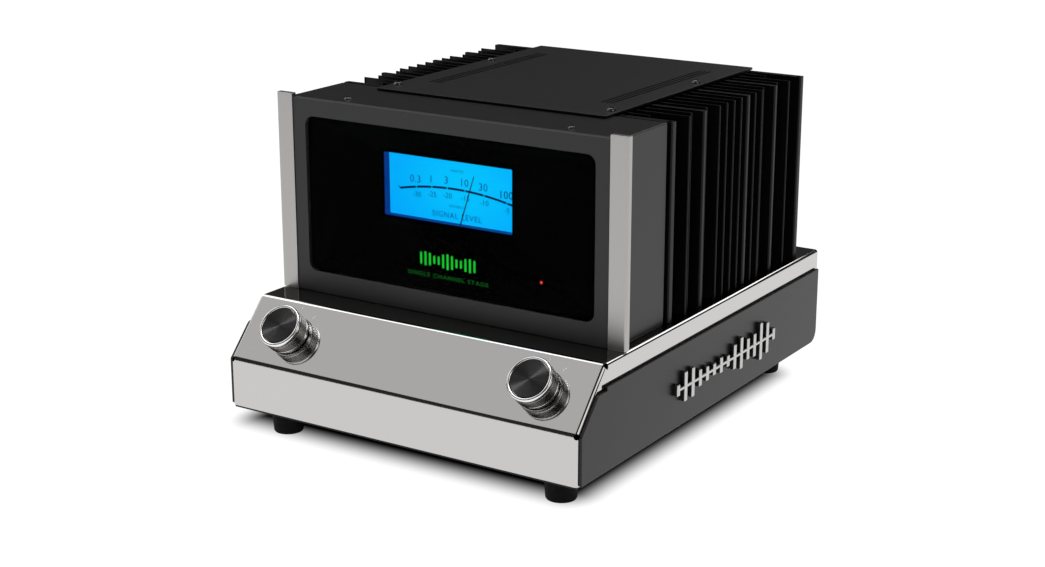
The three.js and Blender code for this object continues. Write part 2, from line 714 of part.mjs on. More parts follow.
// A fluted nut: a round grip with shallow grooves, drawn as an outline of high and low points.
function thumbNut() {
  const flutes = 12;
  const grip = [];
  for (let i = 0; i < 2 * flutes; i++) {
    const a = (i / flutes) * Math.PI;
    const r = i % 2 ? post.nutR : post.nutR - 0.7;
    grip.push([r * Math.cos(a), r * Math.sin(a)]);
  }
  const start = post.nutStart - GAP;
  return prismZ(outline(grip), start, start + post.nutLength).subtract(rod(post.studR + GAP, 0, 40));
}
for (const [i, name, finish] of [[-0.5, "positive", redPlastic], [0.5, "negative", blackPlastic]]) {
  const terminal = new THREE.Group();
  terminal.position.set(post.x + i * post.pitch, outside, post.z);
  base.add(terminal);
  add("speaker_post_" + name, alongY(terminalPost(), 0, 0, 0), brass, terminal);
  add("speaker_collar_" + name, alongY(clampCollar(), 0, 0, 0), brass, terminal);
  add("speaker_nut_" + name, alongY(thumbNut(), 0, 0, 0), finish, terminal);
}

export default amplifier;
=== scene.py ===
"""A monoblock power amplifier of half-rack width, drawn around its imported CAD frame.

Shapes are given in millimetres from the middle of the chassis's front face (x to the right, y to the
rear, z up from the shelf) and are put into the row frame, in metres, as their meshes are made.
"""

import math

import bmesh
import bpy
import numpy as np
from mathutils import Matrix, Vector


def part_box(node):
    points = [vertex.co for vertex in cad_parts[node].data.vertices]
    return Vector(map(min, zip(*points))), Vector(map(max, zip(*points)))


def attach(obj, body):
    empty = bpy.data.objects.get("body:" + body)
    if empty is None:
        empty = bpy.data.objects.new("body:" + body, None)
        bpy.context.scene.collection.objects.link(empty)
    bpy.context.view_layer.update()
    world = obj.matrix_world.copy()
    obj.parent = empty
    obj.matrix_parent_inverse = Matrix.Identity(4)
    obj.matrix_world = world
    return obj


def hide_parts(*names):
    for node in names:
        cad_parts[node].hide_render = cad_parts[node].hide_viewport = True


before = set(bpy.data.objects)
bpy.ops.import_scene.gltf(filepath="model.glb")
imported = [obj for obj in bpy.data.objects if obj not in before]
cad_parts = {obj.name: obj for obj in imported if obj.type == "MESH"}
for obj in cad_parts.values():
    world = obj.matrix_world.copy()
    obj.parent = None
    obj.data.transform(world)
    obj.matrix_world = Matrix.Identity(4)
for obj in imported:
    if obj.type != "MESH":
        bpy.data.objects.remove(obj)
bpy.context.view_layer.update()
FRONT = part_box("chassis_shell")[0].y  # row-frame y of the chassis's front face, in metres


# ----------- chassis shell
# The amplifier's base: one sheet of 1.5 mm stainless steel, folded into front, slope, deck and sides.
# It is mirror polished after folding, so its bends are small bright radii, and round relief holes
# are drilled where three folds meet. The shafts and wiring pass through cut openings.


def linear(code):
    """A hex colour as linear RGBA: a channel c is ((c + 0.055) / 1.055) ** 2.4, or c / 12.92 if dark."""
    c = np.array([int(code[i : i + 2], 16) for i in (0, 2, 4)]) / 255
    c = np.where(c <= 0.04045, c / 12.92, ((c + 0.055) / 1.055) ** 2.4)
    return (*c.tolist(), 1.0)


def add(tree, kind, inputs=None, **settings):
    """One shader node with its settings. An input that is another node's output is linked."""
    made = tree.nodes.new("ShaderNode" + kind)
    for name, value in settings.items():
        setattr(made, name, value)
    for name, value in (inputs or {}).items():
        if isinstance(value, bpy.types.NodeSocket):
            tree.links.new(value, made.inputs[name])
        else:
            made.inputs[name].default_value = value
    return made


def mix(tree, share, first, second):
    """A mix of two hex colours: the first at share 0, the second at share 1."""
    colours = {"Factor": share, "A": linear(first), "B": linear(second)}
    return add(tree, "Mix", colours, data_type="RGBA").outputs["Result"]


def noise(tree, where, scale, detail):
    """Noise from 0 to 1 over the coordinates where, its features 1 / scale in size along each axis."""
    where = add(tree, "Mapping", {"Vector": where, "Scale": scale}).outputs["Vector"]
    return add(tree, "TexNoise", {"Vector": where, "Scale": 1.0, "Detail": detail}).outputs["Fac"]


def material(name, **inputs):
    """A Principled material, its uniform values set on the shader's own sockets. An underscore stands for
    a space, and a colour is given as its hex code."""
    made = bpy.data.materials.new(name)
    made.use_nodes = True
    shader = made.node_tree.nodes["Principled BSDF"]
    for socket, value in inputs.items():
        value = linear(value) if isinstance(value, str) else value
        shader.inputs[socket.replace("_", " ")].default_value = value
    return made, made.node_tree, shader


def grain(tree, shader, size, stretch=(1, 1, 1), rough=None, height=0.0, tones=None, detail=3.0):
    """Noise with features of size millimetres, longer by stretch along x, y and z. It moves the roughness
    between the two values of rough, mixes the two hex colours of tones, and raises the surface by height
    millimetres."""
    where = add(tree, "TexCoord").outputs["Object"]
    pattern = noise(tree, where, tuple(1000 / (size * s) for s in stretch), detail)
    if rough:
        limits = {"From Min": 0.3, "From Max": 0.7, "To Min": rough[0], "To Max": rough[1]}
        spread = add(tree, "MapRange", {"Value": pattern, **limits})
        tree.links.new(spread.outputs["Result"], shader.inputs["Roughness"])
    if tones:
        contrast = add(tree, "MapRange", {"Value": pattern, "From Min": 0.35, "From Max": 0.65})
        tree.links.new(mix(tree, contrast.outputs["Result"], *tones), shader.inputs["Base Color"])
    if height:
        under = shader.inputs["Normal"].links
        bump = add(tree, "Bump", {"Height": pattern, "Distance": height / 1000, "Strength": 1.0})
        if under:
            tree.links.new(under[0].from_socket, bump.inputs["Normal"])
        tree.links.new(bump.outputs["Normal"], shader.inputs["Normal"])


def grained(name, size, rough=None, tones=None, height=0.0, stretch=(1, 1, 1), detail=3.0, **inputs):
    """A Principled material with its shader's uniform inputs and one grain."""
    made, tree, shader = material(name, **inputs)
    grain(tree, shader, size, stretch, rough, height, tones, detail)
    return made


def skin(name, grid, wrap=(False, True), caps=False, smooth=35):
    """A piece from a grid of points (rows, columns, xyz) in millimetres, one face to a cell. wrap joins
    the last row or column to the first, and caps closes the first and last row with a flat face each. The
    UV map holds the column as u and the row as v, both 0 to 1. Doubles at poles and seams are merged and
    the faces are turned outwards."""
    rows, columns = grid.shape[:2]
    index = np.arange(rows * columns).reshape(rows, columns)
    here = index if wrap[0] else index[:-1]
    down = np.roll(index, -1, 0)[: len(here)]
    width = columns if wrap[1] else columns - 1
    corners = [here, down, np.roll(down, -1, 1), np.roll(here, -1, 1)]
    quads = np.stack([c[:, :width] for c in corners], -1).reshape(-1, 4)
    faces = quads.tolist()
    if caps:
        faces += [index[0].tolist(), index[-1][::-1].tolist()]
    mesh = bpy.data.meshes.new(name)
    mesh.from_pydata((grid.reshape(-1, 3) / 1000 + (0, FRONT, 0)).tolist(), [], faces)
    i, j = np.indices((len(here), width))
    u = np.stack([j, j, j + 1, j + 1], -1) / width
    v = np.stack([i, i + 1, i + 1, i], -1) / len(here)
    flat = np.zeros((len(mesh.loops), 2), np.float32)
    flat[: quads.size] = np.stack([u, v], -1).reshape(-1, 2)
    mesh.uv_layers.new(name="surface").data.foreach_set("uv", flat.ravel())
    made = bmesh.new()
    made.from_mesh(mesh)
    bmesh.ops.remove_doubles(made, verts=made.verts, dist=1e-6)
    bmesh.ops.dissolve_degenerate(made, edges=made.edges, dist=1e-7)
    bmesh.ops.recalc_face_normals(made, faces=made.faces)
    made.to_mesh(mesh)
    made.free()
    return shown(name, mesh, smooth)


scene = bpy.context.scene


def placed(name, data):
    """A new object in the scene for a mesh, a curve, a light or a camera."""
    made = bpy.data.objects.new(name, data)
    scene.collection.objects.link(made)
    return made


def shown(name, mesh, smooth=35):
    """An object for a mesh, shaded smooth except across edges sharper than smooth degrees."""
    mesh.shade_smooth()
    mesh.set_sharp_from_angle(angle=math.radians(smooth))
    return placed(name, mesh)


def prism(name, outline, axis, low, high):
    """An outline in the two other coordinates, carried along axis (0, 1 or 2) from low to high."""
    grid = np.zeros((2, len(outline), 3))
    grid[:, :, axis] = [[low], [high]]
    grid[:, :, [k for k in range(3) if k != axis]] = outline
    return skin(name, grid, caps=True)


def rounded(points, radius, steps=6):
    """An outline whose corners are arcs: each arc touches both edges at radius / tan(half the corner's
    angle) from the corner, and its points turn evenly from one touching point to the other. radius is one
    value or one a corner."""
    p = np.array(points, float)
    before = np.roll(p, 1, 0) - p
    after = np.roll(p, -1, 0) - p
    before /= np.linalg.norm(before, axis=1, keepdims=True)
    after /= np.linalg.norm(after, axis=1, keepdims=True)
    half = np.arccos(np.clip((before * after).sum(1), -1, 1)) / 2
    r = np.broadcast_to(np.maximum(radius, 1e-4), half.shape)[:, None]
    reach, depth = r / np.tan(half)[:, None], r / np.sin(half)[:, None]
    middle = before + after
    centre = p + middle / np.linalg.norm(middle, axis=1, keepdims=True) * depth
    start, end = p + before * reach - centre, p + after * reach - centre
    turn = (math.pi - 2 * half)[:, None, None]
    s = np.linspace(0, 1, steps)[None, :, None]
    arc = (np.sin((1 - s) * turn) * start[:, None] + np.sin(s * turn) * end[:, None]) / np.sin(turn)
    return (centre[:, None] + arc).reshape(-1, 2)


def rectangle(x0, x1, z0, z1):
    """The four corners of a rectangle, anticlockwise."""
    return np.array([(x0, z0), (x1, z0), (x1, z1), (x0, z1)], float)


UP, TO_REAR = (0, 0, 1), (0, 1, 0)


def lathe(name, profile, base, axis, segments=64, ring=False):
    """A profile of (radius, height) turned about an axis through base. A ring's profile closes on itself,
    and any other profile runs from one end to the other and gets a flat cap at each."""
    z = np.array(axis, float) / np.linalg.norm(axis)
    x = np.cross(z, UP if abs(z[2]) < 0.9 else TO_REAR)
    x /= np.linalg.norm(x)
    turn = np.arange(segments) * math.tau / segments
    around = np.cos(turn)[:, None] * x + np.sin(turn)[:, None] * np.cross(z, x)
    r, h = np.array(profile, float).T
    grid = np.array(base, float) + r[:, None, None] * around + h[:, None, None] * z
    return skin(name, grid, (ring, True), not ring)


def bake(piece):
    """Puts a piece's modified shape into its own mesh."""
    shape = bpy.data.meshes.new_from_object(piece.evaluated_get(bpy.context.evaluated_depsgraph_get()))
    piece.modifiers.clear()
    piece.data = shape
    return piece


def cut(piece, *cutters):
    """Takes the cutters' volumes out of a piece and removes them."""
    for cutter in cutters:
        change = piece.modifiers.new("cut", "BOOLEAN")
        change.object = cutter
        change.solver = "MANIFOLD"
        bake(piece)
        bpy.data.objects.remove(cutter)
    return piece


def soften(piece, width, segments=3, angle=40):
    """Rounds a piece's sharp edges to width millimetres, with its flat faces kept flat in shading."""
    bevel = piece.modifiers.new("edge", "BEVEL")
    bevel.width = width / 1000
    bevel.segments = segments
    bevel.limit_method = "ANGLE"
    bevel.angle_limit = math.radians(angle)
    normals = piece.modifiers.new("flat faces", "WEIGHTED_NORMAL")
    normals.keep_sharp = True
    return piece


def keep_flat(piece):
    """Marks a cut piece's edges sharp above 35 degrees and keeps its flat faces flat in shading."""
    piece.data.set_sharp_from_angle(angle=math.radians(35))
    piece.modifiers.new("flat faces", "WEIGHTED_NORMAL").keep_sharp = True
    return piece


def dress(piece, look):
    """Gives a piece or a CAD node one material."""
    piece.data.materials.clear()
    piece.data.materials.append(look)


def fit(piece, look, slot, body, *nodes):
    """Gives a piece its material, the CAD body it moves with, and the CAD nodes it stands for. The slot is
    not used.
    """
    dress(piece, look)
    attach(piece, body)
    if nodes:
        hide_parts(*nodes)


slope_turn = math.atan2(33.5, 30.5)
slope_out = np.array([0, -math.sin(slope_turn), math.cos(slope_turn)])
slope_up = np.array([0, math.cos(slope_turn), math.sin(slope_turn)])
slope_middle = np.array([0, 15.25, 66.75])

# Stainless steel, mirror polished: sharp reflections, a faint polishing haze and slow waves in the sheet.
polished_steel, tree, shader = material("stainless_mirror_polished", Base_Color="C6C4C3", Metallic=1.0)
grain(tree, shader, 9, rough=(0.045, 0.075), detail=5)
grain(tree, shader, 70, height=0.02, detail=0)

# The side view of the slope is run long and rise high. The inner bends lie where the sheet's inner faces
# meet: sheet * (long - rise) / run below the front bend, sheet * (long - run) / rise behind the top one.
sheet, half_width, deck, front_bend = 1.5, 125, 83.5, 50
run, rise = 30.5, deck - front_bend
outer = [(0, 10), (325, 10), (325, deck), (run, deck), (0, front_bend)]
shell = prism("chassis_shell_sheet", outer, 0, -half_width, half_width)
shell = bake(soften(shell, 2.0, 6))
long = math.hypot(run, rise)
inner_bend = front_bend - sheet * (long - rise) / run
inner_top = run + sheet * (long - run) / rise
inner = [(sheet, 5), (330, 5), (330, deck - sheet), (inner_top, deck - sheet), (sheet, inner_bend)]
cut(shell, prism("cutter", inner, 0, sheet - half_width, half_width - sheet))
cut(shell, prism("cutter", rectangle(-130, 130, -5, 340), 2, 0, 19.5))
cut(shell, prism("cutter", rectangle(-130, 130, 315, 340), 2, 0, 100))
cut(shell, prism("cutter", rounded(rectangle(-70, 70, 125, 285), 3), 2, 78, 90))
cut(shell, prism("cutter", rounded(rectangle(-30, 30, 72, 96), 3), 2, 78, 90))
for side in (-1, 1):
    hole = slope_middle + (side * 90, 0, 0)
    cut(shell, lathe("cutter", [(4.9, -6), (4.9, 6)], hole, slope_out))
    for y, z, drop in ((run, deck, 35), (0, front_bend, 60)):
        lean = math.radians(drop)
        away = (math.sin(lean) * side * math.sqrt(0.5), -math.sin(lean) * math.sqrt(0.5), math.cos(lean))
        cut(shell, lathe("cutter", [(1.7, -6), (1.7, 6)], (side * half_width, y, z), away, 24))
fit(keep_flat(shell), polished_steel, "polished_stainless", "chassis", "chassis_shell")


# ----------- side plates
# A 1.7 mm steel plate on each side of the chassis, sprayed dark grey and semi-gloss. Its front edge
# follows the slope, its front upper corner is rounded below a small step, and its rear lower corner is
# cut round.

# Dark grey lacquer, sprayed: soft reflections broken up by a fine orange peel.
grey_lacquer = grained(
    "lacquer_sprayed_dark_grey", 1.2, rough=(0.3, 0.38), tones=("191717", "1E1C1C"), height=0.002,
    Specular_IOR_Level=0.3,
)

SIDES = ((-1, "left"), (1, "right"))
inset, step_down, low_edge, rear_edge = 1.5, 68.5, 19.8, 313.5
edge_back = 1.3 * inset  # how far the plate's slanted edge lies behind the slope


def on_slope(z):
    """How far back the plate's slanted edge is at the height z."""
    return (z + edge_back * slope_up[1] - 50) * slope_up[1] / slope_up[2] + edge_back * slope_up[2]


plate_outline = rounded(
    [
        (inset, low_edge),
        (rear_edge, low_edge),
        (rear_edge, 70.8),
        (29, 70.8),
        (29, step_down),
        (on_slope(step_down) + 0.2, step_down),
        (inset, 49),
    ],
    [0.8, 8, 0.8, 0.5, 0.3, 3.6, 2],
)
for side, name in SIDES:
    ends = sorted((side * 125.3, side * 127))
    plate = soften(prism("side_plate_" + name + "_steel", plate_outline, 0, *ends), 0.25, 2)
    fit(plate, grey_lacquer, "grey_lacquer", "chassis", "side_plate_" + name)


# ----------- side ornaments
# A raised ornament on each side plate: fifteen upright bars on a rail, after the shape of a sound wave.
# Its body is a black moulding and its face a thin satin aluminium inlay, glued on.

# Aluminium, brushed and clear anodised: a soft silver sheen drawn out along the brushing.
satin_aluminium = grained(
    "aluminium_brushed_anodised", 0.12, rough=(0.24, 0.36), tones=("B9B8B7", "CCCBCA"),
    height=0.0012, stretch=(1, 1, 260), Metallic=1.0,
)

# Black plastic, moulded: a dull black with the faint grain of the mould.
black_plastic = grained(
    "plastic_moulded_black", 0.5, rough=(0.4, 0.55), tones=("0E0E0E", "131313"), height=0.008,
    Specular_IOR_Level=0.45,
)

bar = np.arange(15)
bar_start = 107 + bar * (241 - 107 - 3.4) / 14
bar_half = (7 + 18 * np.abs(np.sin(0.9 * bar) * np.cos(0.23 * bar + 0.4))) / 2
bar_y = np.stack([bar_start, bar_start, bar_start + 3.4, bar_start + 3.4], 1).ravel()
bar_z = np.stack([0 * bar_half + 0.9, bar_half, bar_half, 0 * bar_half + 0.9], 1).ravel()
wave = np.concatenate([np.stack([bar_y, 45 + bar_z], 1), np.stack([bar_y, 45 - bar_z], 1)[::-1]])
for side, name in SIDES:
    body = prism("side_badge_" + name + "_body", wave, 0, *sorted((side * 127.3, side * 129.2)))
    fit(soften(body, 0.15, 2), black_plastic, "black_plastic", "chassis", "side_badge_" + name)
    face = prism("side_badge_" + name + "_face", wave, 0, *sorted((side * 129.2, side * 130)))
    fit(soften(face, 0.3, 3), satin_aluminium, "satin_aluminium", "chassis", "side_badge_" + name)


# ----------- bottom plate and feet
# A slotted steel bottom plate in black powder coat carries four moulded rubber feet. Each foot tapers a
# little, has a rounded lower edge and is held by a countersunk screw deep in its middle.

# Powder coat, baked: a near-black, fine sandy texture that scatters highlights.
powder_coat = grained(
    "powder_coat_baked_black", 0.35, rough=(0.4, 0.5), tones=("0F0E0F", "131213"), height=0.012, detail=2,
    Specular_IOR_Level=0.27,
)

# Rubber, moulded: matt black with a slightly greyed, uneven bloom.
rubber = grained(
    "rubber_moulded_black", 2.5, rough=(0.65, 0.85), tones=("050505", "0A0A0A"), height=0.01,
    Specular_IOR_Level=0.12,
)

# Steel, black oxide: dark, slightly glossy screws.
black_oxide = grained(
    "steel_black_oxide", 0.6, rough=(0.17, 0.26), tones=("545456", "626264"), Metallic=1.0
)

dress(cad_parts["bottom_plate"], powder_coat)
foot_profile = [(3.5, 4.6), (3.5, 0.6), (4.1, 0), (8.1, 0), (8.8, 0.25), (9.2, 0.9), (9.3, 1.4)]
foot_profile += [(10.2, 14.2), (10.4, 15.4), (10.4, 17.2), (9.9, 17.7), (3.5, 17.7)]
foot_screw = [(1.2, 3.8), (1.3, 3.1), (3.1, 3.1), (3.45, 3.6), (3.45, 6)]
for y, end in ((23.5, "front"), (290, "rear")):
    for side, name in SIDES:
        at = (side * 100.5, y, 0)
        node = "foot_" + end + "_" + name
        foot = lathe(node + "_rubber", foot_profile, at, UP, 64, ring=True)
        fit(foot, rubber, "rubber", "chassis", node)
        head = lathe(node + "_screw", foot_screw, at, UP, 32)
        fit(head, black_oxide, "black_steel", "chassis")


# ----------- control knobs
# Two turned aluminium knobs on the slope, for the meter and for power. Each has a polished front rim and
# base ring, a diamond-knurled grip band between them, and a recessed disc spun to fine rings and dyed
# black.

# Aluminium, turned and polished: a bright rim with hairline turning marks round it.
turned_aluminium, tree, shader = material("aluminium_turned_polished", Base_Color="EFEDEB", Metallic=1.0)
where = add(tree, "UVMap", uv_map="surface").outputs["UV"]
rings = noise(tree, where, (3, 420, 1), 2.0)
spread = add(tree, "MapRange", {"Value": rings, "To Min": 0.12, "To Max": 0.28}).outputs["Result"]
tree.links.new(spread, shader.inputs["Roughness"])

# Aluminium, spun and dyed black: rings so fine that light fans out from the middle in two bright wedges.
spun_black, tree, shader = material("aluminium_spun_black", Metallic=1.0, Roughness=0.52, Anisotropic=0.97)
shader.inputs["Anisotropic Rotation"].default_value = 0.25
around = add(tree, "Tangent", direction_type="UV_MAP", uv_map="surface").outputs["Tangent"]
tree.links.new(around, shader.inputs["Tangent"])
where = add(tree, "UVMap", uv_map="surface").outputs["UV"]
rings = noise(tree, where, (2, 90, 1), 3.0)
tree.links.new(mix(tree, rings, "3C3C3D", "545455"), shader.inputs["Base Color"])

# White screen print, thinned: small captions and marks in soft grey.
grey_print = grained("ink_printed_grey", 0.3, tones=("EDEBE9", "F6F4F2"), Roughness=0.6)

# The base ring and the groove above it, the core behind the knurl, the front rim and the disc's recess.
knob_profile = [(9.2, 1.0), (13.1, 1.0), (13.5, 1.3), (13.5, 2.9), (13.2, 3.2), (12.7, 3.3)]
knob_profile += [(12.7, 3.7), (13.4, 3.9), (13.4, 10.3), (13.7, 10.4), (14.0, 10.6), (14.1, 10.9)]
rim = np.linspace(0, math.pi, 13)
knob_profile += [*zip(12.95 + 1.1 * np.cos(rim), 12.6 + 1.15 * np.sin(rim))]
knob_profile += [(11.85, 12.4), (3.3, 12.6), (3.3, 5.0), (9.2, 5.0)]
knurl_rows, knurl_columns, knurl_count = 49, 720, 72
height = np.linspace(3.95, 10.25, knurl_rows)
turn = np.arange(knurl_columns) * math.tau / knurl_columns
pitch = math.tau * 14.0 / knurl_count
rising, falling = (turn[None] * knurl_count / math.tau + way * height[:, None] / pitch for way in (1, -1))
saws = [np.abs(2 * (phase % 1) - 1) for phase in (rising, falling)]
knurl_radius = 13.9 + 0.08 * np.minimum(*saws)
knurl_radius[[0, -1]] = 13.6
sunk_end = np.full((1, knurl_columns), 13.3)
knurl_radius = np.concatenate([sunk_end, knurl_radius, sunk_end])
knurl_height = np.concatenate([[3.95], height, [10.25]])

# Aluminium, knurled by rolling, with painted shade: the grooves between the diamonds are painted dark where
# shade falls, and the diamonds' tops keep the metal's bright colour. The painted shade repeats the grip's
# formula on the UV map, where u is the turn and v the height.
knurled_aluminium_painted_shade, tree, shader = material("aluminium_knurled_painted_shade", Metallic=1.0, Roughness=0.16)
where = add(tree, "UVMap", uv_map="surface").outputs["UV"]
step = height[1] - height[0]
waves = []
for way in (1, -1):
    lines = (knurl_count, way * step * (knurl_rows + 2) / pitch, 0)
    phase = add(tree, "VectorMath", {0: where, 1: lines}, operation="DOT_PRODUCT").outputs["Value"]
    offset = way * (height[0] - step) / pitch
    phase = add(tree, "Math", {0: phase, 1: offset}, operation="ADD").outputs["Value"]
    waves.append(add(tree, "Math", {0: phase, 1: 0.5}, operation="PINGPONG").outputs["Value"])
groove_painted_shade = add(tree, "Math", {0: waves[0], 1: waves[1]}, operation="MAXIMUM").outputs["Value"]
share = add(tree, "MapRange", {"Value": groove_painted_shade, "From Min": 0.25, "From Max": 0.45}).outputs["Result"]
# Painted shade: dark in the knurl's grooves, the metal's own bright colour on the tops.
tree.links.new(mix(tree, share, "D6D3CF", "2A2927"), shader.inputs["Base Color"])

sideways = np.array([1.0, 0, 0])
upwards = np.cross(slope_out, sideways)
for side, name, body in ((-1, "selector", "selector"), (1, "power", "power_control")):
    seat = slope_middle + (side * 90, 0, 0)
    knob = lathe(name + "_knob_turned", knob_profile, seat, slope_out, 160, ring=True)
    fit(knob, turned_aluminium, "satin_aluminium", body, name + "_knob")
    around = np.cos(turn)[:, None] * sideways + np.sin(turn)[:, None] * upwards
    grid = seat + knurl_radius[..., None] * around + knurl_height[:, None, None] * slope_out
    grip = skin(name + "_knob_grip", grid, (True, True), smooth=80)
    fit(grip, knurled_aluminium_painted_shade, "satin_aluminium", body, name + "_knob")
    radius = np.concatenate([[11.55, 11.6, 11.55], np.linspace(11.4, 0.15, 46)])
    disc_top = 13.05 + 0.5 * (radius / 11.6) ** 2
    disc_top[:2] = [12.75, 13.45]
    disc = lathe(name + "_knob_disc_spun", np.stack([radius, disc_top], 1), seat, slope_out, 160)
    fit(disc, spun_black, "black_anodised", body, name + "_knob_disc")
    for k in (-1, 0, 1):
        mark = math.radians(38 * k)
        along = upwards * math.cos(mark) + sideways * math.sin(mark)
        across = sideways * math.cos(mark) - upwards * math.sin(mark)
        corners = np.array([(-0.3, 17.0), (0.3, 17.0), (0.3, 19.6), (-0.3, 19.6)])
        line = seat + corners[:, :1] * across + corners[:, 1:] * along
        layers = np.stack([line + slope_out * 0.01, line + slope_out * 0.04])
        marks = skin(name + "_tick_%d" % (k + 1), layers, caps=True)
        fit(marks, grey_print, "satin_aluminium", "chassis")


# ----------- front bezel and glass pane
# A 3 mm black-anodised bezel frames a clear glass pane with round corners. The pane is printed black
# behind, except for the meter's window, the lit emblem and the lamp, so it looks like one black mirror.

# Aluminium, anodised black: an even, satin dark grey.
black_anodised = grained(
    "aluminium_black_anodised", 0.25, rough=(0.42, 0.5), tones=("2F2F2F", "343434"), height=0.0015,
    Specular_IOR_Level=0.4,
)

# Glass, float, with an anti-reflection coating: clear, with only a weak reflection.
clear = {"Base_Color": "FBFEFD", "Transmission_Weight": 1.0, "IOR": 1.04, "Roughness": 0.0}
clear_glass = grained("glass_float_coated", 40, height=0.004, detail=0, **clear)

# Ink, screen printed on the glass: dense black.
black_print = grained(
    "ink_printed_black", 0.4, rough=(0.55, 0.7), tones=("000000", "020202"), Specular_IOR_Level=0.0
)

bezel_hole = rounded(rectangle(-103.6, 103.6, 97.4, 195.6), 6, 10)
bezel = prism("front_bezel_plate", rectangle(-112.7, 112.7, 83.8, 206), 1, 53, 56)
cut(bezel, prism("cutter", bezel_hole, 1, 50, 60))
fit(soften(bezel, 0.3, 3), black_anodised, "black_anodised", "chassis", "front_bezel")

pane = prism("front_glass_pane", rounded(rectangle(-103.3, 103.3, 97.7, 195.3), 5.7, 10), 1, 53.2, 55.9)
fit(soften(pane, 0.25, 2), clear_glass, "front_glass", "chassis", "front_glass")

mask = prism("front_glass_mask", rounded(rectangle(-103.2, 103.2, 97.8, 195.2), 5.6, 10), 1, 56.08, 56.26)
cut(mask, prism("cutter", rounded(rectangle(-46, 46, 140.5, 179.5), 0.6, 4), 1, 50, 60))
cut(mask, lathe("cutter", [(1.05, -3), (1.05, 3)], (66, 56, 115), TO_REAR, 32))
fit(mask, black_print, "front_glass", "chassis", "front_glass")


# ----------- end trims
# Two satin aluminium bars stand at the ends of the front panel, from the deck to just above it. Each is a
# drawn section with rounded front edges, brushed along its length.

# Aluminium, linished fine and anodised: a soft, even grey-silver with the faintest lines along the bar.
linished_aluminium = grained(
    "aluminium_linished_anodised", 0.15, rough=(0.31, 0.34), tones=("AEACAA", "B1AFAD"), stretch=(1, 1, 600),
    Metallic=1.0,
)

for side, name in SIDES:
    corners = [(113, 52.3), (125, 52.3), (125, 56.5), (113, 56.5)]
    section = rounded([(side * x, y) for x, y in corners], [0.5, 1.4, 0.3, 0.3], 7)
    bar = soften(prism("trim_" + name + "_bar", section, 2, 83.8, 208.5), 0.25, 2, 60)
    fit(bar, linished_aluminium, "satin_aluminium", "chassis", "trim_" + name)


# ----------- meter housing
# A folded steel box behind the front panel, in the same dark grey lacquer as the side plates. It holds
# the meter, and button-head screws fix it at the top corners and low on its side.
housing = bake(soften(prism("meter_housing_box", rectangle(56.8, 109.5, 83.8, 206), 0, -118, 118), 0.7, 4))
cut(housing, prism("cutter", rectangle(50, 108, 85.3, 204.5), 0, -116.5, 116.5))
cut(housing, prism("cutter", rounded(rectangle(-30, 30, 72, 96), 3), 2, 80, 90))
fit(keep_flat(housing), grey_lacquer, "grey_lacquer", "chassis", "meter_housing")


def button_screw(name, at, axis, radius, high):
    """A button-head screw: its head is a low dome of radius r, high * (1 - (r / radius) ** 2.6) above the
    seat, with a hexagonal socket sunk into it."""
    r = np.linspace(radius, radius * 0.62, 8)
    dome = [(radius, 0.0), *zip(r, 0.25 + (high - 0.25) * (1 - (r / radius) ** 2.6) / (1 - 0.62**2.6))]
    shank = [(radius * 0.5, -0.6), (radius * 0.5, 0.0)]
    head = lathe(name, [*shank, *dome, (radius * 0.56, high)], at, axis, 48)
    socket = lathe("cutter", [(radius * 0.4, high - 1.0), (radius * 0.4, high + 1)], at, axis, 6)
    cut(head, socket)
    head.data.set_sharp_from_angle(angle=math.radians(30))
    return head


for name, at, axis in (
    ("housing_screw_left", (-80, 66, 206), UP),
    ("housing_screw_right", (80, 66, 206), UP),
    ("housing_screw_side_left", (-118, 62, 89), (-1, 0, 0)),
    ("housing_screw_side_right", (118, 62, 89), (1, 0, 0)),
):
    fit(button_screw(name, at, axis, 2.4, 1.3), black_oxide, "black_steel", "chassis")


# ----------- the meter
# A moving-coil meter in a black moulded frame behind the window. Its dial is a blue translucent panel lit
# from behind, printed in dark blue with a broken arc, two rows of numbers and a caption, under a fine
# black needle.

# Dial panel, translucent plastic lit from behind: bright sky blue, brightest a little to the right of the
# window's middle and deeper towards its edges.
dial_light, tree, shader = material("plastic_translucent_lit_blue", Roughness=0.8, Specular_IOR_Level=0.0)
where = add(tree, "TexCoord").outputs["Object"]
spot = add(tree, "Mapping", {"Vector": where, "Location": (-0.010, 0.107, -0.164)}).outputs["Vector"]
spread = add(tree, "VectorMath", {0: spot, 1: (1.0, 0.0, 1.6)}, operation="MULTIPLY").outputs["Vector"]
far = add(tree, "VectorMath", {0: spread}, operation="LENGTH").outputs["Value"]
reach = {"Value": far, "From Min": 0.0, "From Max": 0.075}
fall = add(tree, "MapRange", reach, interpolation_type="SMOOTHSTEP").outputs["Result"]
shader.inputs["Base Color"].default_value = linear("000408")
tree.links.new(mix(tree, fall, "04C2FF", "02A6FB"), shader.inputs["Emission Color"])
shader.inputs["Emission Strength"].default_value = 1.0

# Dial print, dark blue ink on the lit panel, and a thinner print for the small figures, which lets more
# light through.
glowing = {"Specular_IOR_Level": 0.0, "Emission_Strength": 1.0}
dial_print = grained(
    "ink_printed_dark_blue", 0.3, tones=("02091F", "03103A"), Emission_Color="021A4C", **glowing
)
faint_print = grained(
    "ink_printed_thin_blue", 0.3, tones=("02102A", "041838"), Emission_Color="084798", **glowing
)

# Grey-black plastic, moulded: the meter's frame, dull with a fine grain.
frame_plastic = grained(
    "plastic_moulded_grey_black", 0.5, rough=(0.5, 0.65), tones=("2A2A2C", "303034"), Specular_IOR_Level=0.3
)
dress(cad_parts["meter_frame"], frame_plastic)

dial = prism("meter_dial_panel", rounded(rectangle(-45.7, 45.7, 118, 180.7), 0.8, 4), 1, 61.2, 63)
cut(dial, lathe("cutter", [(10.5, -4), (10.5, 4)], (0, 62, 115.5), TO_REAR))
fit(dial, dial_light, "dial", "chassis", "meter_dial")


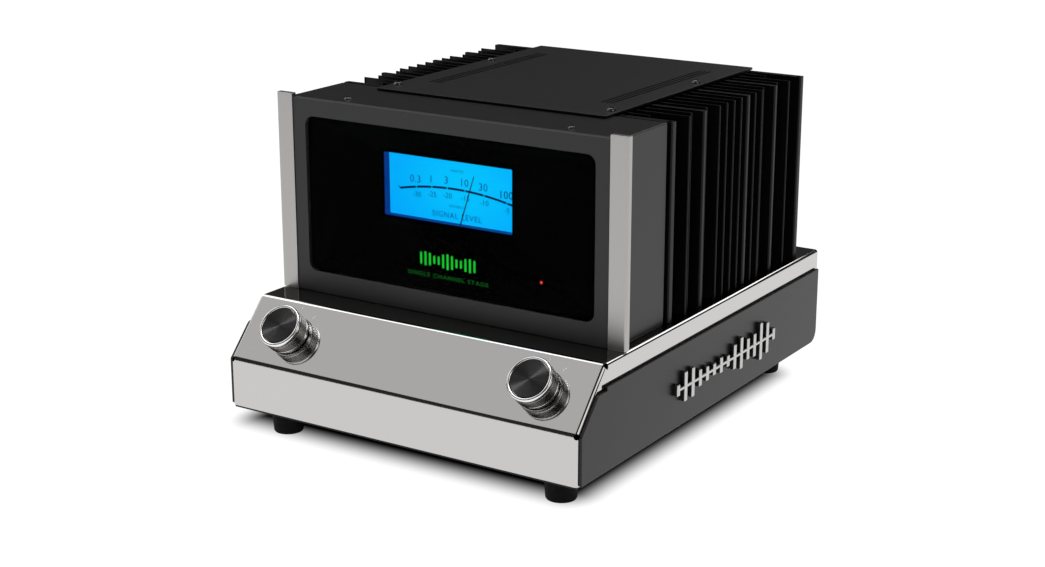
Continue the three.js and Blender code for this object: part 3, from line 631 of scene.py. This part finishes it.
def arc_line(name, x0, x1, peak_x, peak_z, radius, thick, y):
    """A printed line along a circle of that radius whose top is at (peak_x, peak_z): its middle runs from
    x0 to x1 at z = peak_z - radius + sqrt(radius^2 - (x - peak_x)^2), thick wide, and stands 0.03 mm off
    the panel at y."""
    angle = np.linspace(math.asin((x0 - peak_x) / radius), math.asin((x1 - peak_x) / radius), 24)[:, None]
    r = radius + np.array([-0.5, 0.5, 0.5, -0.5]) * thick
    x = peak_x + r * np.sin(angle)
    z = peak_z - radius + r * np.cos(angle)
    depth = y - np.array([0.0, 0.0, 0.03, 0.03]) + 0 * angle
    return skin(name, np.stack([x, depth, z], -1), caps=True)


def lettering(name, words, at, height, spacing, squeeze=1.0):
    """Words as a flat mesh that faces the front, centred at a point, with capitals of that height."""
    curve = bpy.data.curves.new(name, "FONT")
    curve.body, curve.size, curve.align_x, curve.align_y = words, height / 0.69, "CENTER", "CENTER"
    curve.space_character, curve.extrude, curve.resolution_u = spacing, 0.01, 3
    text = placed(name, curve)
    mesh = bpy.data.meshes.new_from_object(text.evaluated_get(bpy.context.evaluated_depsgraph_get()))
    bpy.data.objects.remove(text)
    flat = np.zeros(len(mesh.vertices) * 3)
    mesh.vertices.foreach_get("co", flat)
    x, z, y = flat.reshape(-1, 3).T
    points = np.stack([x * squeeze, -y, z], 1) + at
    mesh.vertices.foreach_set("co", (points / 1000 + (0, FRONT, 0)).ravel())
    return shown(name, mesh)


dial_front = 61.17
arc_x, arc_radius = 2, 186
gaps = [-37.9, -25.8, -14.4, -3.3, 9.5, 23.0, 39.0, 45.2]
for k in range(7):
    ends = gaps[k] + 0.35, gaps[k + 1] - 0.35
    line = arc_line("meter_dial_arc_%d" % k, *ends, arc_x, 161.3, arc_radius, 1.35, dial_front)
    fit(line, dial_print, "dial", "chassis")
start = np.array([(-39.3, 158.2), (-38.7, 158.5), (-37.3, 156.9), (-37.6, 156.4)])
fit(prism("meter_dial_arc_start", start, 1, dial_front - 0.03, dial_front), dial_print, "dial", "chassis")
upper = ("0.3", "1", "3", "10", "30", "100")
lower = ("-30", "-25", "-20", "-15", "-10", "-5")
for k in range(6):
    x = gaps[k + 1]
    drop = (x - arc_x) ** 2 / (2 * arc_radius)
    number = lettering("meter_dial_upper_%d" % k, upper[k], (x - 0.6, dial_front, 165.9 - drop), 4.5, 1.05)
    fit(number, dial_print if k == 5 else faint_print, "dial", "chassis")
    number = lettering("meter_dial_lower_%d" % k, lower[k], (x + 0.2, dial_front, 156.7 - drop), 3.2, 1.05)
    fit(number, faint_print, "dial", "chassis")
for name, words, at, height in (
    ("units_upper", "WATTS", (4.0, dial_front, 172.2), 1.7),
    ("units_lower", "DECIBELS", (3.2, dial_front, 150.6), 1.5),
    ("caption", "SIGNAL LEVEL", (3.4, dial_front, 144.6), 3.5),
):
    fit(lettering("meter_dial_" + name, words, at, height, 1.15), faint_print, "dial", "chassis")

# A liner runs round the window behind the glass and glows dark blue: painted light standing in for the dial's
# glow falling on the window's walls.
liner_glow_look = {"Roughness": 0.7, "Emission_Strength": 1.0, "Emission_Color": "01267C"}
liner_painted_glow = grained("plastic_liner_painted_glow", 2, tones=("010A20", "02102A"), **liner_glow_look)
liner_in = rounded(rectangle(-45.95, 45.95, 140.6, 179.4), 0.6, 4)
liner_out = rounded(rectangle(-46.35, 46.35, 140.2, 179.8), 0.8, 4)
liner_rings = ((liner_in, 56.4), (liner_in, 61.1), (liner_out, 61.1), (liner_out, 56.4))
liner = np.stack([np.insert(ring, 1, y, 1) for ring, y in liner_rings])
fit(skin("meter_window_liner", liner, (True, True)), liner_painted_glow, "dial", "chassis")

# Needle, aluminium foil painted matt black.
needle_paint = grained(
    "paint_sprayed_matt_black", 0.4, rough=(0.6, 0.75), tones=("04070F", "060A16"), Specular_IOR_Level=0.2
)
tilt = math.radians(17.8)
pivot = np.array([0, 58.3, 115.5])
hub_profile = [(1.3, -0.7), (3.2, -0.7), (3.5, -0.4), (3.5, 0.4), (3.2, 0.7), (1.3, 0.7)]
hub = lathe("meter_needle_hub", hub_profile, pivot, TO_REAR, 48, ring=True)
fit(hub, needle_paint, "needle", "needle", "meter_needle")
strip = np.array([(-1, -0.5), (1, -0.5), (1, 0.0), (-1, 0.0)])


def along_needle(reach, half):
    """A strip's grid, half wide at each distance reach from the pivot, that leans right by tilt."""
    x = strip[:, 0] * half[:, None]
    z = reach[:, None] + 0 * x
    leaning_x = x * math.cos(tilt) + z * math.sin(tilt)
    leaning_z = z * math.cos(tilt) - x * math.sin(tilt)
    return np.stack([leaning_x, strip[:, 1] + 0 * x, leaning_z], -1) + pivot


reach = np.linspace(2.5, 59, 24)
pointer = along_needle(reach, np.interp(reach, [2.5, 52, 59], [0.34, 0.22, 0.13]))
pointer = skin("meter_needle_pointer", pointer, caps=True)
fit(pointer, needle_paint, "needle", "needle", "meter_needle")
reach = np.linspace(-2.5, -9, 8)
weight = along_needle(reach, np.interp(-reach, [2.5, 5, 9], [0.6, 0.8, 1.2]))
weight = skin("meter_needle_counterweight", weight, caps=True)
fit(weight, needle_paint, "needle", "needle", "meter_needle")

dress(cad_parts["meter_movement"], satin_aluminium)


# ----------- lit emblem and power lamp
# Below the meter a row of upright bars is left clear in the black print, and a green light guide shines
# through it, with a small line of words under it. A red lamp to the right shows that the amplifier is on.

# Light guide, acrylic lit green.
green_light, tree, shader = material("acrylic_lit_green", Base_Color="000400", **glowing)
where = add(tree, "TexCoord").outputs["Object"]
glow = add(tree, "TexNoise", {"Vector": where, "Scale": 180.0, "Detail": 1.0}).outputs["Fac"]
tree.links.new(mix(tree, glow, "10A828", "1CD034"), shader.inputs["Emission Color"])

# Lamp, diffused epoxy lit red: brightest in its middle.
lamp_look = {"Base_Color": "400404", "Roughness": 0.35, "Emission_Strength": 1.6}
red_light, tree, shader = material("epoxy_diffused_lit_red", **lamp_look)
where = add(tree, "TexCoord").outputs["Object"]
centre = (0.066, FRONT + 0.056, 0.115)
spot = add(tree, "VectorMath", {0: where, 1: centre}, operation="DISTANCE").outputs["Value"]
fall = add(tree, "MapRange", {"Value": spot, "From Min": 0.0002, "From Max": 0.0011}).outputs["Result"]
tree.links.new(mix(tree, fall, "FF3A30", "A00808"), shader.inputs["Emission Color"])

# The same light guide behind the small words, dimmed, and its unlit milky green block.
dimmed = {"Emission_Color": "105A1C", **glowing}
dim_green = grained("acrylic_lit_dim_green", 2, tones=("000300", "000600"), **dimmed)
milky = {"Roughness": 0.3, "Transmission_Weight": 0.3}
guide_plastic = grained("acrylic_milky_green", 3, tones=("1F6B2A", "287A33"), **milky)

emblem_bar, emblem_z = np.arange(13), 117.2
emblem_half = (3.0 + 6.6 * np.abs(np.cos(0.62 * (emblem_bar - 6)) * np.cos(0.11 * (emblem_bar - 6)))) / 2
emblem_x = -19.4 + emblem_bar * 38.8 / 12
for k, (x, half) in enumerate(zip(emblem_x, emblem_half)):
    outline = rounded(rectangle(x - 0.75, x + 0.75, emblem_z - half, emblem_z + half), 0.35, 4)
    glyph = prism("emblem_bar_%d" % k, outline, 1, 55.98, 56.04)
    fit(glyph, green_light, "green_light", "chassis", "emblem_light_guide")
words = lettering("emblem_line", "SINGLE CHANNEL STAGE", (0, 56.01, 107.2), 2.5, 1.22, 1.2)
fit(words, dim_green, "green_light", "chassis", "emblem_light_guide")
guide = soften(prism("emblem_guide_block", rectangle(-40, 40, 102, 127), 1, 56.3, 57.1), 0.2, 2)
fit(guide, guide_plastic, "green_light", "chassis", "emblem_light_guide")

dome = np.linspace(0, math.pi / 2 - 0.1, 10)
lamp = [(0.95, 5.0), (0.95, 0.9), *zip(0.95 * np.cos(dome), 0.9 - 0.9 * np.sin(dome))]
lens = lathe("power_led_lens", lamp, (66, 55.98, 115), TO_REAR, 40)
fit(lens, red_light, "red_led", "chassis", "power_led")


# ----------- heat sinks
# One aluminium extrusion on each side, anodised black, with nineteen upright fins. Most fins are thin and
# end in a small bead, a few between them are thick, and the two end fins are heavy bars with a tapped
# screw hole at the top.

# Aluminium, extruded and anodised black: dark, with faint drawn lines up the fins.
sink_black = grained(
    "aluminium_extruded_black", 0.5, rough=(0.36, 0.46), tones=("010101", "040404"),
    height=0.004, stretch=(1, 1, 120), Specular_IOR_Level=0.2,
)

fin_pitch, corner = 9.72, 1.1  # corner rounds the thick fins' tips
fin_y = 115 + fin_pitch * np.arange(19)
fin_half = np.full(19, 0.8)
fin_half[[0, 18]] = 2.6
fin_half[[4, 10]] = 1.9
fin_half[14] = 1.8
fin_tip = np.full(19, 119.6)
fin_tip[[1, 17]] = 98
fin_tip[[3, 5, 13, 15]] = 115.6
# Half a fin's outline from root to tip, as shares of its half thickness, and distances back from its tip:
# it tapers, then swells to a round bead.
turn = np.linspace(math.radians(150), math.radians(10), 7)
shares = np.concatenate([[1.0, 0.62], np.sin(turn)])
back_from_tip = np.concatenate([[np.nan, 3.2], 1 - np.cos(turn)])
half_y = fin_half[:, None] * shares
round_off = np.where(fin_half < 1, fin_half, corner)[:, None]
fin_x = fin_tip[:, None] - back_from_tip * np.where(np.arange(9) < 2, 1.0, round_off)
fin_x[:, 0] = 82
thick = fin_half >= 1
half_y[thick, 1] = fin_half[thick]
quarter = np.clip(turn, 0, math.pi / 2)
half_y[thick, 2:] = fin_half[thick, None] - corner + corner * np.sin(quarter)
fin_x[thick, 2:] = fin_tip[thick, None] - corner + corner * np.cos(quarter)
front_side = np.stack([fin_x, fin_y[:, None] - half_y], -1)
rear_side = np.stack([fin_x, fin_y[:, None] + half_y], -1)[:, ::-1]
fins = np.concatenate([front_side, rear_side], 1).reshape(-1, 2)
section = np.concatenate([[(74, 112.4)], fins, [(74, 292.56)]])
for side, name in SIDES:
    sink = prism("heat_sink_" + name + "_extrusion", section * (side, 1), 2, 83.8, 205.5)
    for y in (fin_y[0], fin_y[18]):
        for x in (116.4, 86):
            cut(sink, lathe("cutter", [(1.5, -9), (1.5, 2)], (side * x, y, 205.5), UP, 24))
    fit(keep_flat(sink), sink_black, "black_anodised", "chassis", "heat_sink_" + name)


# ----------- top cover and upper rear panel
# A 1.5 mm steel cover lies over the heat sinks' inner edges, in black powder coat, with three long air
# slots on each side. Four button-head screws hold it down. A plain panel closes the space below it at the
# rear.
cover = prism("top_cover_sheet", rounded(rectangle(-83, 83, 98.5, 292), 1.2), 2, 206.3, 207.8)
cover = bake(soften(cover, 0.35, 3))
for side in (-1, 1):
    for i in (-1, 0, 1):
        x = side * 63 + i * 3.4
        cut(cover, prism("cutter", rounded(rectangle(x - 0.7, x + 0.7, 133, 263), 0.65, 4), 2, 200, 215))
fit(keep_flat(cover), powder_coat, "black_steel", "chassis", "top_cover")
for y, end in ((114.5, "front"), (221, "rear")):
    for side, name in SIDES:
        node = "cover_screw_" + end + "_" + name
        head = button_screw(node + "_head", (side * 77.7, y, 207.85), UP, 2.9, 1.75)
        fit(head, black_oxide, "black_steel", "chassis", node)
upper = soften(prism("upper_rear_panel_sheet", rectangle(-73.7, 73.7, 83.8, 206), 1, 290.56, 292.5), 0.3, 2)
fit(upper, powder_coat, "black_steel", "chassis", "upper_rear_panel")


# ----------- rear panel
# A black powder-coated steel panel closes the chassis at the rear and carries the connectors. Button-head
# screws hold its corners, and plus and minus signs are printed above the speaker terminals.
dress(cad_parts["rear_panel"], powder_coat)
for k, (x, z) in enumerate(((-117, 74), (117, 74), (-117, 27), (117, 27), (-45, 74), (55, 74))):
    head = button_screw("rear_panel_screw_%d" % k, (x, 315.02, z), TO_REAR, 2.6, 1.4)
    fit(head, black_oxide, "black_steel", "chassis")
for name, bars in (
    ("plus", [(78.5, 79.5, 64.5, 69.5), (76.5, 78.45, 66.5, 67.5), (79.55, 81.5, 66.5, 67.5)]),
    ("minus", [(102.5, 107.5, 66.5, 67.5)]),
):
    for k, bar in enumerate(bars):
        mark = prism("terminal_mark_%s_%d" % (name, k), rectangle(*bar), 1, 315.01, 315.05)
        fit(mark, grey_print, "black_steel", "chassis")


# ----------- mains inlet, fuse drawer and fuse
# A moulded black mains inlet with three nickel blades in its socket, held by two countersunk screws.
# Below the socket a small drawer with a finger lip holds a glass fuse with metal end caps.


def refined(name, node, width, segments=2):
    """A copy of a CAD node's mesh with its doubles merged, its flat faces joined and its edges rounded."""
    made = bmesh.new()
    made.from_mesh(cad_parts[node].data)
    bmesh.ops.remove_doubles(made, verts=made.verts, dist=1e-6)
    bmesh.ops.dissolve_limit(made, angle_limit=math.radians(1), verts=made.verts, edges=made.edges)
    mesh = bpy.data.meshes.new(name)
    made.to_mesh(mesh)
    made.free()
    return soften(shown(name, mesh), width, segments)


# Brass, nickel plated: a slightly warm, bright contact metal with a light haze.
nickel = grained("brass_nickel_plated", 1.5, rough=(0.16, 0.28), tones=("BDB8AE", "CCC8C0"), Metallic=1.0)

inlet = refined("mains_inlet_moulding", "mains_inlet", 0.35)
fit(inlet, black_plastic, "black_plastic", "chassis", "mains_inlet")
for k, (x, z) in enumerate(((-92, 56.2), (-78, 56.2), (-85, 60.2))):
    outline = rectangle(x - 1.05, x + 1.05, z - 2.05, z + 2.05)
    blade = soften(prism("mains_inlet_blade_%d" % k, outline, 1, 304, 315.9), 0.4, 3)
    fit(blade, nickel, "black_plastic", "chassis")
dished_head = [(2.6, -0.8), (2.8, 0.0), (2.3, 0.3), (1.1, 0.32), (0.9, -0.3)]
for k, x in enumerate((-106.2, -63.8)):
    head = lathe("mains_inlet_screw_%d" % k, dished_head, (x, 317.75, 51), TO_REAR, 40)
    fit(head, black_oxide, "black_steel", "chassis")
drawer = refined("fuse_drawer_moulding", "fuse_drawer", 0.3)
fit(drawer, black_plastic, "black_plastic", "fuse_tray", "fuse_drawer")

# Glass tube of the fuse, clear, and its nickel caps.
clear = {"Base_Color": "E8F0F0", "Transmission_Weight": 1.0, "IOR": 1.45}
tube_glass = grained("glass_drawn_clear", 4, rough=(0.02, 0.06), **clear)
fuse_low, fuse_high = (np.array(v) * 1000 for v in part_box("mains_fuse"))
fuse_at = (fuse_low + fuse_high) / 2 - (0, FRONT * 1000, 0)
tube_profile = [(2.0, -8), (2.45, -8), (2.45, 8), (2.0, 8)]
tube = lathe("mains_fuse_tube", tube_profile, fuse_at, (1, 0, 0), 40, ring=True)
fit(tube, tube_glass, "fuse_glass", "fuse_tray", "mains_fuse")
wire = lathe("mains_fuse_wire", [(0.12, -8), (0.12, 8)], fuse_at, (1, 0, 0), 10)
fit(wire, nickel, "fuse_glass", "fuse_tray", "mains_fuse")
for k, side in enumerate((-1, 1)):
    cap = np.array([(2.0, 10), (2.45, 9.9), (2.6, 9.5), (2.6, 4.8), (2.5, 4.6), (2.47, 4.6)]) * (1, side)
    cap = lathe("mains_fuse_cap_%d" % k, cap, fuse_at, (1, 0, 0), 40)
    fit(cap, nickel, "fuse_glass", "fuse_tray", "mains_fuse")


# ----------- balanced and unbalanced inputs
# A three-pin balanced socket in a die-cast satin flange with a push tab above it, and a gold-plated phono
# socket with a hexagonal nut and a white insulating ring.

# Zinc, die-cast and nickel plated: a satin silver-grey.
die_cast = grained(
    "zinc_die_cast_satin", 0.6, rough=(0.3, 0.42), tones=("A6A5A3", "B6B5B3"), height=0.003, Metallic=1.0
)

# Brass, gold plated: bright warm yellow with fine turning lines.
gold = grained(
    "brass_gold_plated", 0.2, rough=(0.12, 0.24), tones=("D9AF5A", "E6C070"), stretch=(40, 1, 40),
    Metallic=1.0,
)

REAR, SOCKET_Z = 315.3, 51  # y of the sockets' seats and height of their axes
flange = refined("balanced_input_casting", "balanced_input", 0.25)
fit(flange, die_cast, "satin_aluminium", "chassis", "balanced_input")
tab = refined("balanced_input_tab_casting", "balanced_input_tab", 0.4, 3)
fit(tab, die_cast, "satin_aluminium", "latch_tab", "balanced_input_tab")
insert = [(7.35, 2.02), (7.35, 2.2), (5.9, 2.35), (5.9, 2.0)]
core = lathe("balanced_input_insert", insert, (-28, REAR, SOCKET_Z), TO_REAR, 48, ring=True)
fit(core, black_plastic, "black_plastic", "chassis")
contact_profile = [(0.75, -7.5), (1.2, -7.5), (1.2, 1.6), (1.0, 1.75), (0.75, 1.6)]
for k, turn_deg in enumerate((90, 210, 330)):
    a = math.radians(turn_deg)
    at = (-28 + 4.4 * math.cos(a), REAR, SOCKET_Z + 4.4 * math.sin(a))
    contact = lathe("balanced_input_contact_%d" % k, contact_profile, at, TO_REAR, 24, ring=True)
    fit(contact, gold, "brass", "chassis")
for k, (x, z) in enumerate(((-38.2, 63.4), (-17.8, 38.6))):
    head = button_screw("balanced_input_screw_%d" % k, (x, 317.5, z), TO_REAR, 1.7, 0.9)
    fit(head, black_oxide, "black_steel", "chassis")

nut = soften(lathe("unbalanced_input_nut", [(6.6, 0.0), (6.6, 3.0)], (8, REAR, SOCKET_Z), TO_REAR, 6), 0.4, 3)
fit(nut, gold, "brass", "chassis", "unbalanced_input")
barrel = [(4.2, -14), (4.2, 11.2), (3.9, 11.9), (3.2, 12.0), (3.0, 11.6), (3.0, 3.2)]
barrel = lathe("unbalanced_input_barrel", barrel, (8, REAR, SOCKET_Z), TO_REAR, 64)
fit(barrel, gold, "brass", "chassis", "unbalanced_input")
# White plastic, moulded: a satin off-white insulator.
white_plastic = grained(
    "plastic_moulded_white", 0.8, rough=(0.35, 0.5), tones=("D8D6D0", "E4E2DC"), Specular_IOR_Level=0.4
)
insulator = [(2.95, 3.1), (2.95, 11.3), (1.7, 11.5), (1.7, 3.1)]
core = lathe("unbalanced_input_insulator", insulator, (8, REAR, SOCKET_Z), TO_REAR, 48, ring=True)
fit(core, white_plastic, "brass", "chassis", "unbalanced_input")


# ----------- input toggle switch
# A small nickel-plated toggle, screwed into the rear panel: a threaded bushing with a hexagonal nut,
# and a bat lever that tilts up or down.
bushing = refined("input_toggle_bushing", "input_toggle_case", 0.2)
fit(bushing, nickel, "satin_aluminium", "chassis", "input_toggle_case")
lean = math.radians(11)
lever_axis = (0, math.cos(lean), math.sin(lean))
s = np.linspace(0, 1, 26)
ball = [(1.8 * math.sin(t), -1.8 * math.cos(t)) for t in np.linspace(0.15, 2.3, 9)]
stem = [*zip(np.interp(s, [0, 0.35, 0.8, 1], [0.95, 1.05, 1.5, 1.48]), 1.9 + 12.4 * s)]
tip = [(1.48 * math.cos(t), 14.4 + 1.48 * math.sin(t)) for t in np.linspace(0.1, 1.5, 8)]
lever = lathe("input_toggle_bat", ball + stem + tip, (36, REAR, SOCKET_Z), lever_axis, 40)
fit(lever, nickel, "satin_aluminium", "toggle", "input_toggle_lever")


# ----------- speaker terminals
# Each terminal has a moulded insulating base, a gold-plated threaded stud, a gold clamping collar and a
# fluted plastic thumb nut with a gold core, red for plus and black for minus. The nut and collar move out
# along the stud.

# Plastic, moulded red: glossy, slightly translucent.
red_plastic = grained(
    "plastic_moulded_red", 1.5, rough=(0.25, 0.36), tones=("861010", "981818"),
    Subsurface_Weight=0.05, Coat_Weight=0.3,
)

flute_turn = np.arange(240) * math.tau / 240
nut_rows = np.array([[0.0, 3.2], [0.0, 7.2], [0.7, 8.2], [16.6, 8.2], [17.6, 7.4], [18.0, 6.4], [18.0, 4.6]])
for x, name, look, slot in (
    (79, "positive", red_plastic, "red_plastic"),
    (105, "negative", black_plastic, "black_plastic"),
):
    at = np.array([x, REAR, SOCKET_Z])
    post, collar, nut = ("speaker_%s_%s" % (part, name) for part in ("post", "collar", "nut"))
    base = [(3.0, -16), (4, -15.6), (4, 0.0), (8.7, 0.0), (9, 0.3), (9, 4.2), (8.2, 5.1), (2.6, 5.2)]
    fit(lathe(post + "_base", base, at, TO_REAR, 64), look, slot, "chassis", post)
    pitch_h = np.arange(5.4, 23.4, 0.3125)
    thread = [(2.5 - 0.22 * (k % 2), h) for k, h in enumerate(pitch_h)]
    stud = [(2.2, 5.0), *thread, (2.3, 23.6), (1.9, 24.0)]
    fit(lathe(post + "_stud", stud, at, TO_REAR, 40), gold, "brass", "chassis", post)
    ring = [(2.8, 5.5), (6.6, 5.5), (6.95, 5.8), (6.95, 7.1), (6.6, 7.4), (2.8, 7.4)]
    ring = lathe(collar + "_ring", ring, at, TO_REAR, 64, ring=True)
    fit(ring, gold, "brass", "collar_" + name, collar)
    # Twelve shallow grooves: the grip's radius is r * (1 - depth * max(0, cos(12 turn)) ** 2).
    flute = 0.055 * np.maximum(0, np.cos(12 * flute_turn)) ** 2
    radius = nut_rows[:, 1:] * (1 - flute * np.array([0, 0.4, 1, 1, 0.7, 0.2, 0])[:, None])
    around = np.stack([np.cos(flute_turn), 0 * flute_turn, np.sin(flute_turn)], -1)
    grid = at + radius[..., None] * around + (nut_rows[:, :1] + 7.7)[..., None] * np.array([0, 1.0, 0])
    fit(skin(nut + "_grip", grid, (True, True), smooth=50), look, slot, "nut_" + name, nut)
    core = [(2.8, 7.75), (3.2, 7.75), (3.2, 7.9), (4.55, 25.5), (4.3, 25.7), (3.0, 25.7), (2.8, 25.5)]
    core = lathe(nut + "_core", core, at, TO_REAR, 48, ring=True)
    fit(core, gold, "brass", "nut_" + name, nut)


# ----------- inside
# Behind the panels: a toroidal transformer under a steel clamp, two large filter capacitors, the
# amplifier board and the output transistors on the heat sinks. Little of it shows, through the slots
# only, so the CAD shapes are kept.

# Copper wire, enamelled and wound: rust-brown strands that run round the ring.
winding = grained(
    "copper_enamelled_wound", 1.2, rough=(0.25, 0.4), tones=("6E3A1C", "9A5A2C"), height=0.25,
    Metallic=0.8,
)

# Circuit board, solder masked: glossy green laminate.
board_green = grained(
    "laminate_solder_masked", 2.5, rough=(0.3, 0.4), tones=("0F4422", "17592E"), height=0.02,
    Coat_Weight=0.4,
)

# Capacitor sleeve, shrunk plastic film in blue.
sleeve_blue = grained(
    "film_shrunk_blue", 6, rough=(0.3, 0.4), tones=("1A2C66", "22367A"), height=0.03, Coat_Weight=0.3
)

for look, names in (
    (winding, ["power_transformer"]),
    (black_oxide, ["transformer_clamp"]),
    (sleeve_blue, ["filter_capacitor_front", "filter_capacitor_rear"]),
    (board_green, ["amplifier_board"]),
    (black_plastic, ["output_devices_left", "output_devices_right", "selector_switch", "power_switch"]),
    (gold, ["selector_shaft", "power_shaft"]),
):
    for name in names:
        dress(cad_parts[name], look)


# ----------- camera
# A long lens, to the right of the front and above it, that looks a little down.
lens = bpy.data.cameras.new("camera")
lens.sensor_width, lens.lens, lens.clip_start, lens.clip_end = 36.0, 64.77, 0.01, 50.0
camera = placed("camera", lens)
camera.location = (0.6225, -0.9972, 0.4236)
camera.rotation_euler = (Vector((-0.019, 0.0, 0.073)) - camera.location).to_track_quat("-Z", "Y").to_euler()
scene.camera = camera


# ----------- floor and lights
# A large white floor with no horizon in view, and five soft lights: overhead, in front to the left,
# behind, and to each side. A small lamp above draws the bright wedges on the spun discs.
ground = bpy.data.meshes.new("floor")
ground.from_pydata([(-7, -7, 0), (7, -7, 0), (7, 7, 0), (-7, 7, 0)], [], [(0, 1, 2, 3)])
floor = placed("floor", ground)
# Paper, matt white: it glows evenly, with a painted shadow where its glow fades to black over the ground the
# amplifier shades. Each side of that painted shadow has its own soft edge: low and high run from 0 at its
# dark limit to 1 at its white limit, in x and y, and the glow follows the length of (max(low, high, 0)), so
# the corners come out round.
matt = {"Base_Color": "202020", "Roughness": 1.0, "Specular_IOR_Level": 0.0, "Emission_Color": "FFFFFF"}
paper, tree, shader = material("paper_white_backdrop_painted_shadow", **matt)
where = add(tree, "TexCoord").outputs["Object"]
slopes = np.array([(1 / 0.024, 1 / 0.032, 0), (-1 / 0.024, -1 / 0.032, 0)])
limits = np.array([(0.102, FRONT + 0.279, 0), (-0.128, FRONT + 0.036, 0)])
high, low = (
    add(tree, "VectorMath", {0: where, 1: slope, 2: start}, operation="MULTIPLY_ADD").outputs["Vector"]
    for slope, start in zip(slopes, -slopes * limits)
)
past = add(tree, "VectorMath", {0: high, 1: low}, operation="MAXIMUM").outputs["Vector"]
past = add(tree, "VectorMath", {0: past, 1: (0, 0, 0)}, operation="MAXIMUM").outputs["Vector"]
painted_shadow_distance = add(tree, "VectorMath", {0: past}, operation="LENGTH").outputs["Value"]
# Painted shadow: the floor's glow is cut down over the ground the amplifier shades.
glow = add(tree, "MapRange", {"Value": painted_shadow_distance, "To Max": 1.03}, interpolation_type="SMOOTHSTEP")
tree.links.new(glow.outputs["Result"], shader.inputs["Emission Strength"])
floor.data.materials.append(paper)


def softbox(name, at, aim, width, depth, radiance):
    """A square area light whose face has the given radiance: its power is radiance * pi * its area."""
    lamp = bpy.data.lights.new(name, "AREA")
    lamp.shape, lamp.size, lamp.size_y = "RECTANGLE", width, depth
    lamp.energy = radiance * math.pi * width * depth
    made = placed(name, lamp)
    made.location = at
    made.rotation_euler = (Vector(aim) - Vector(at)).to_track_quat("-Z", "Y").to_euler()


softbox("softbox_overhead", (-0.7, 0.45, 2.2), (-0.7, 0.45, 0.0), 3.0, 1.7, 2.0)
softbox("softbox_front_left", (-1.35, -0.95, 2.0), (0.0, 0.0, 0.05), 1.7, 1.5, 0.66)
softbox("softbox_behind", (0.1, 2.2, 1.6), (0.0, 0.0, 0.1), 1.6, 0.7, 2.2)
softbox("softbox_right", (2.0, -0.45, 1.6), (0.0, 0.0, 0.1), 1.7, 1.5, 1.2)
softbox("softbox_left", (-2.0, 0.05, 1.0), (0.0, 0.0, 0.05), 1.3, 1.1, 1.3)
softbox("lamp_above", (0.0, -0.02, 2.2), (0.0, -0.02, 0.0), 0.3, 0.3, 60.0)

world = bpy.data.worlds.new("studio")
world.use_nodes = True
background = world.node_tree.nodes["Background"]
background.inputs["Color"].default_value = (1, 1, 1, 1)
background.inputs["Strength"].default_value = 0.03
scene.world = world
scene.view_settings.view_transform = "Standard"
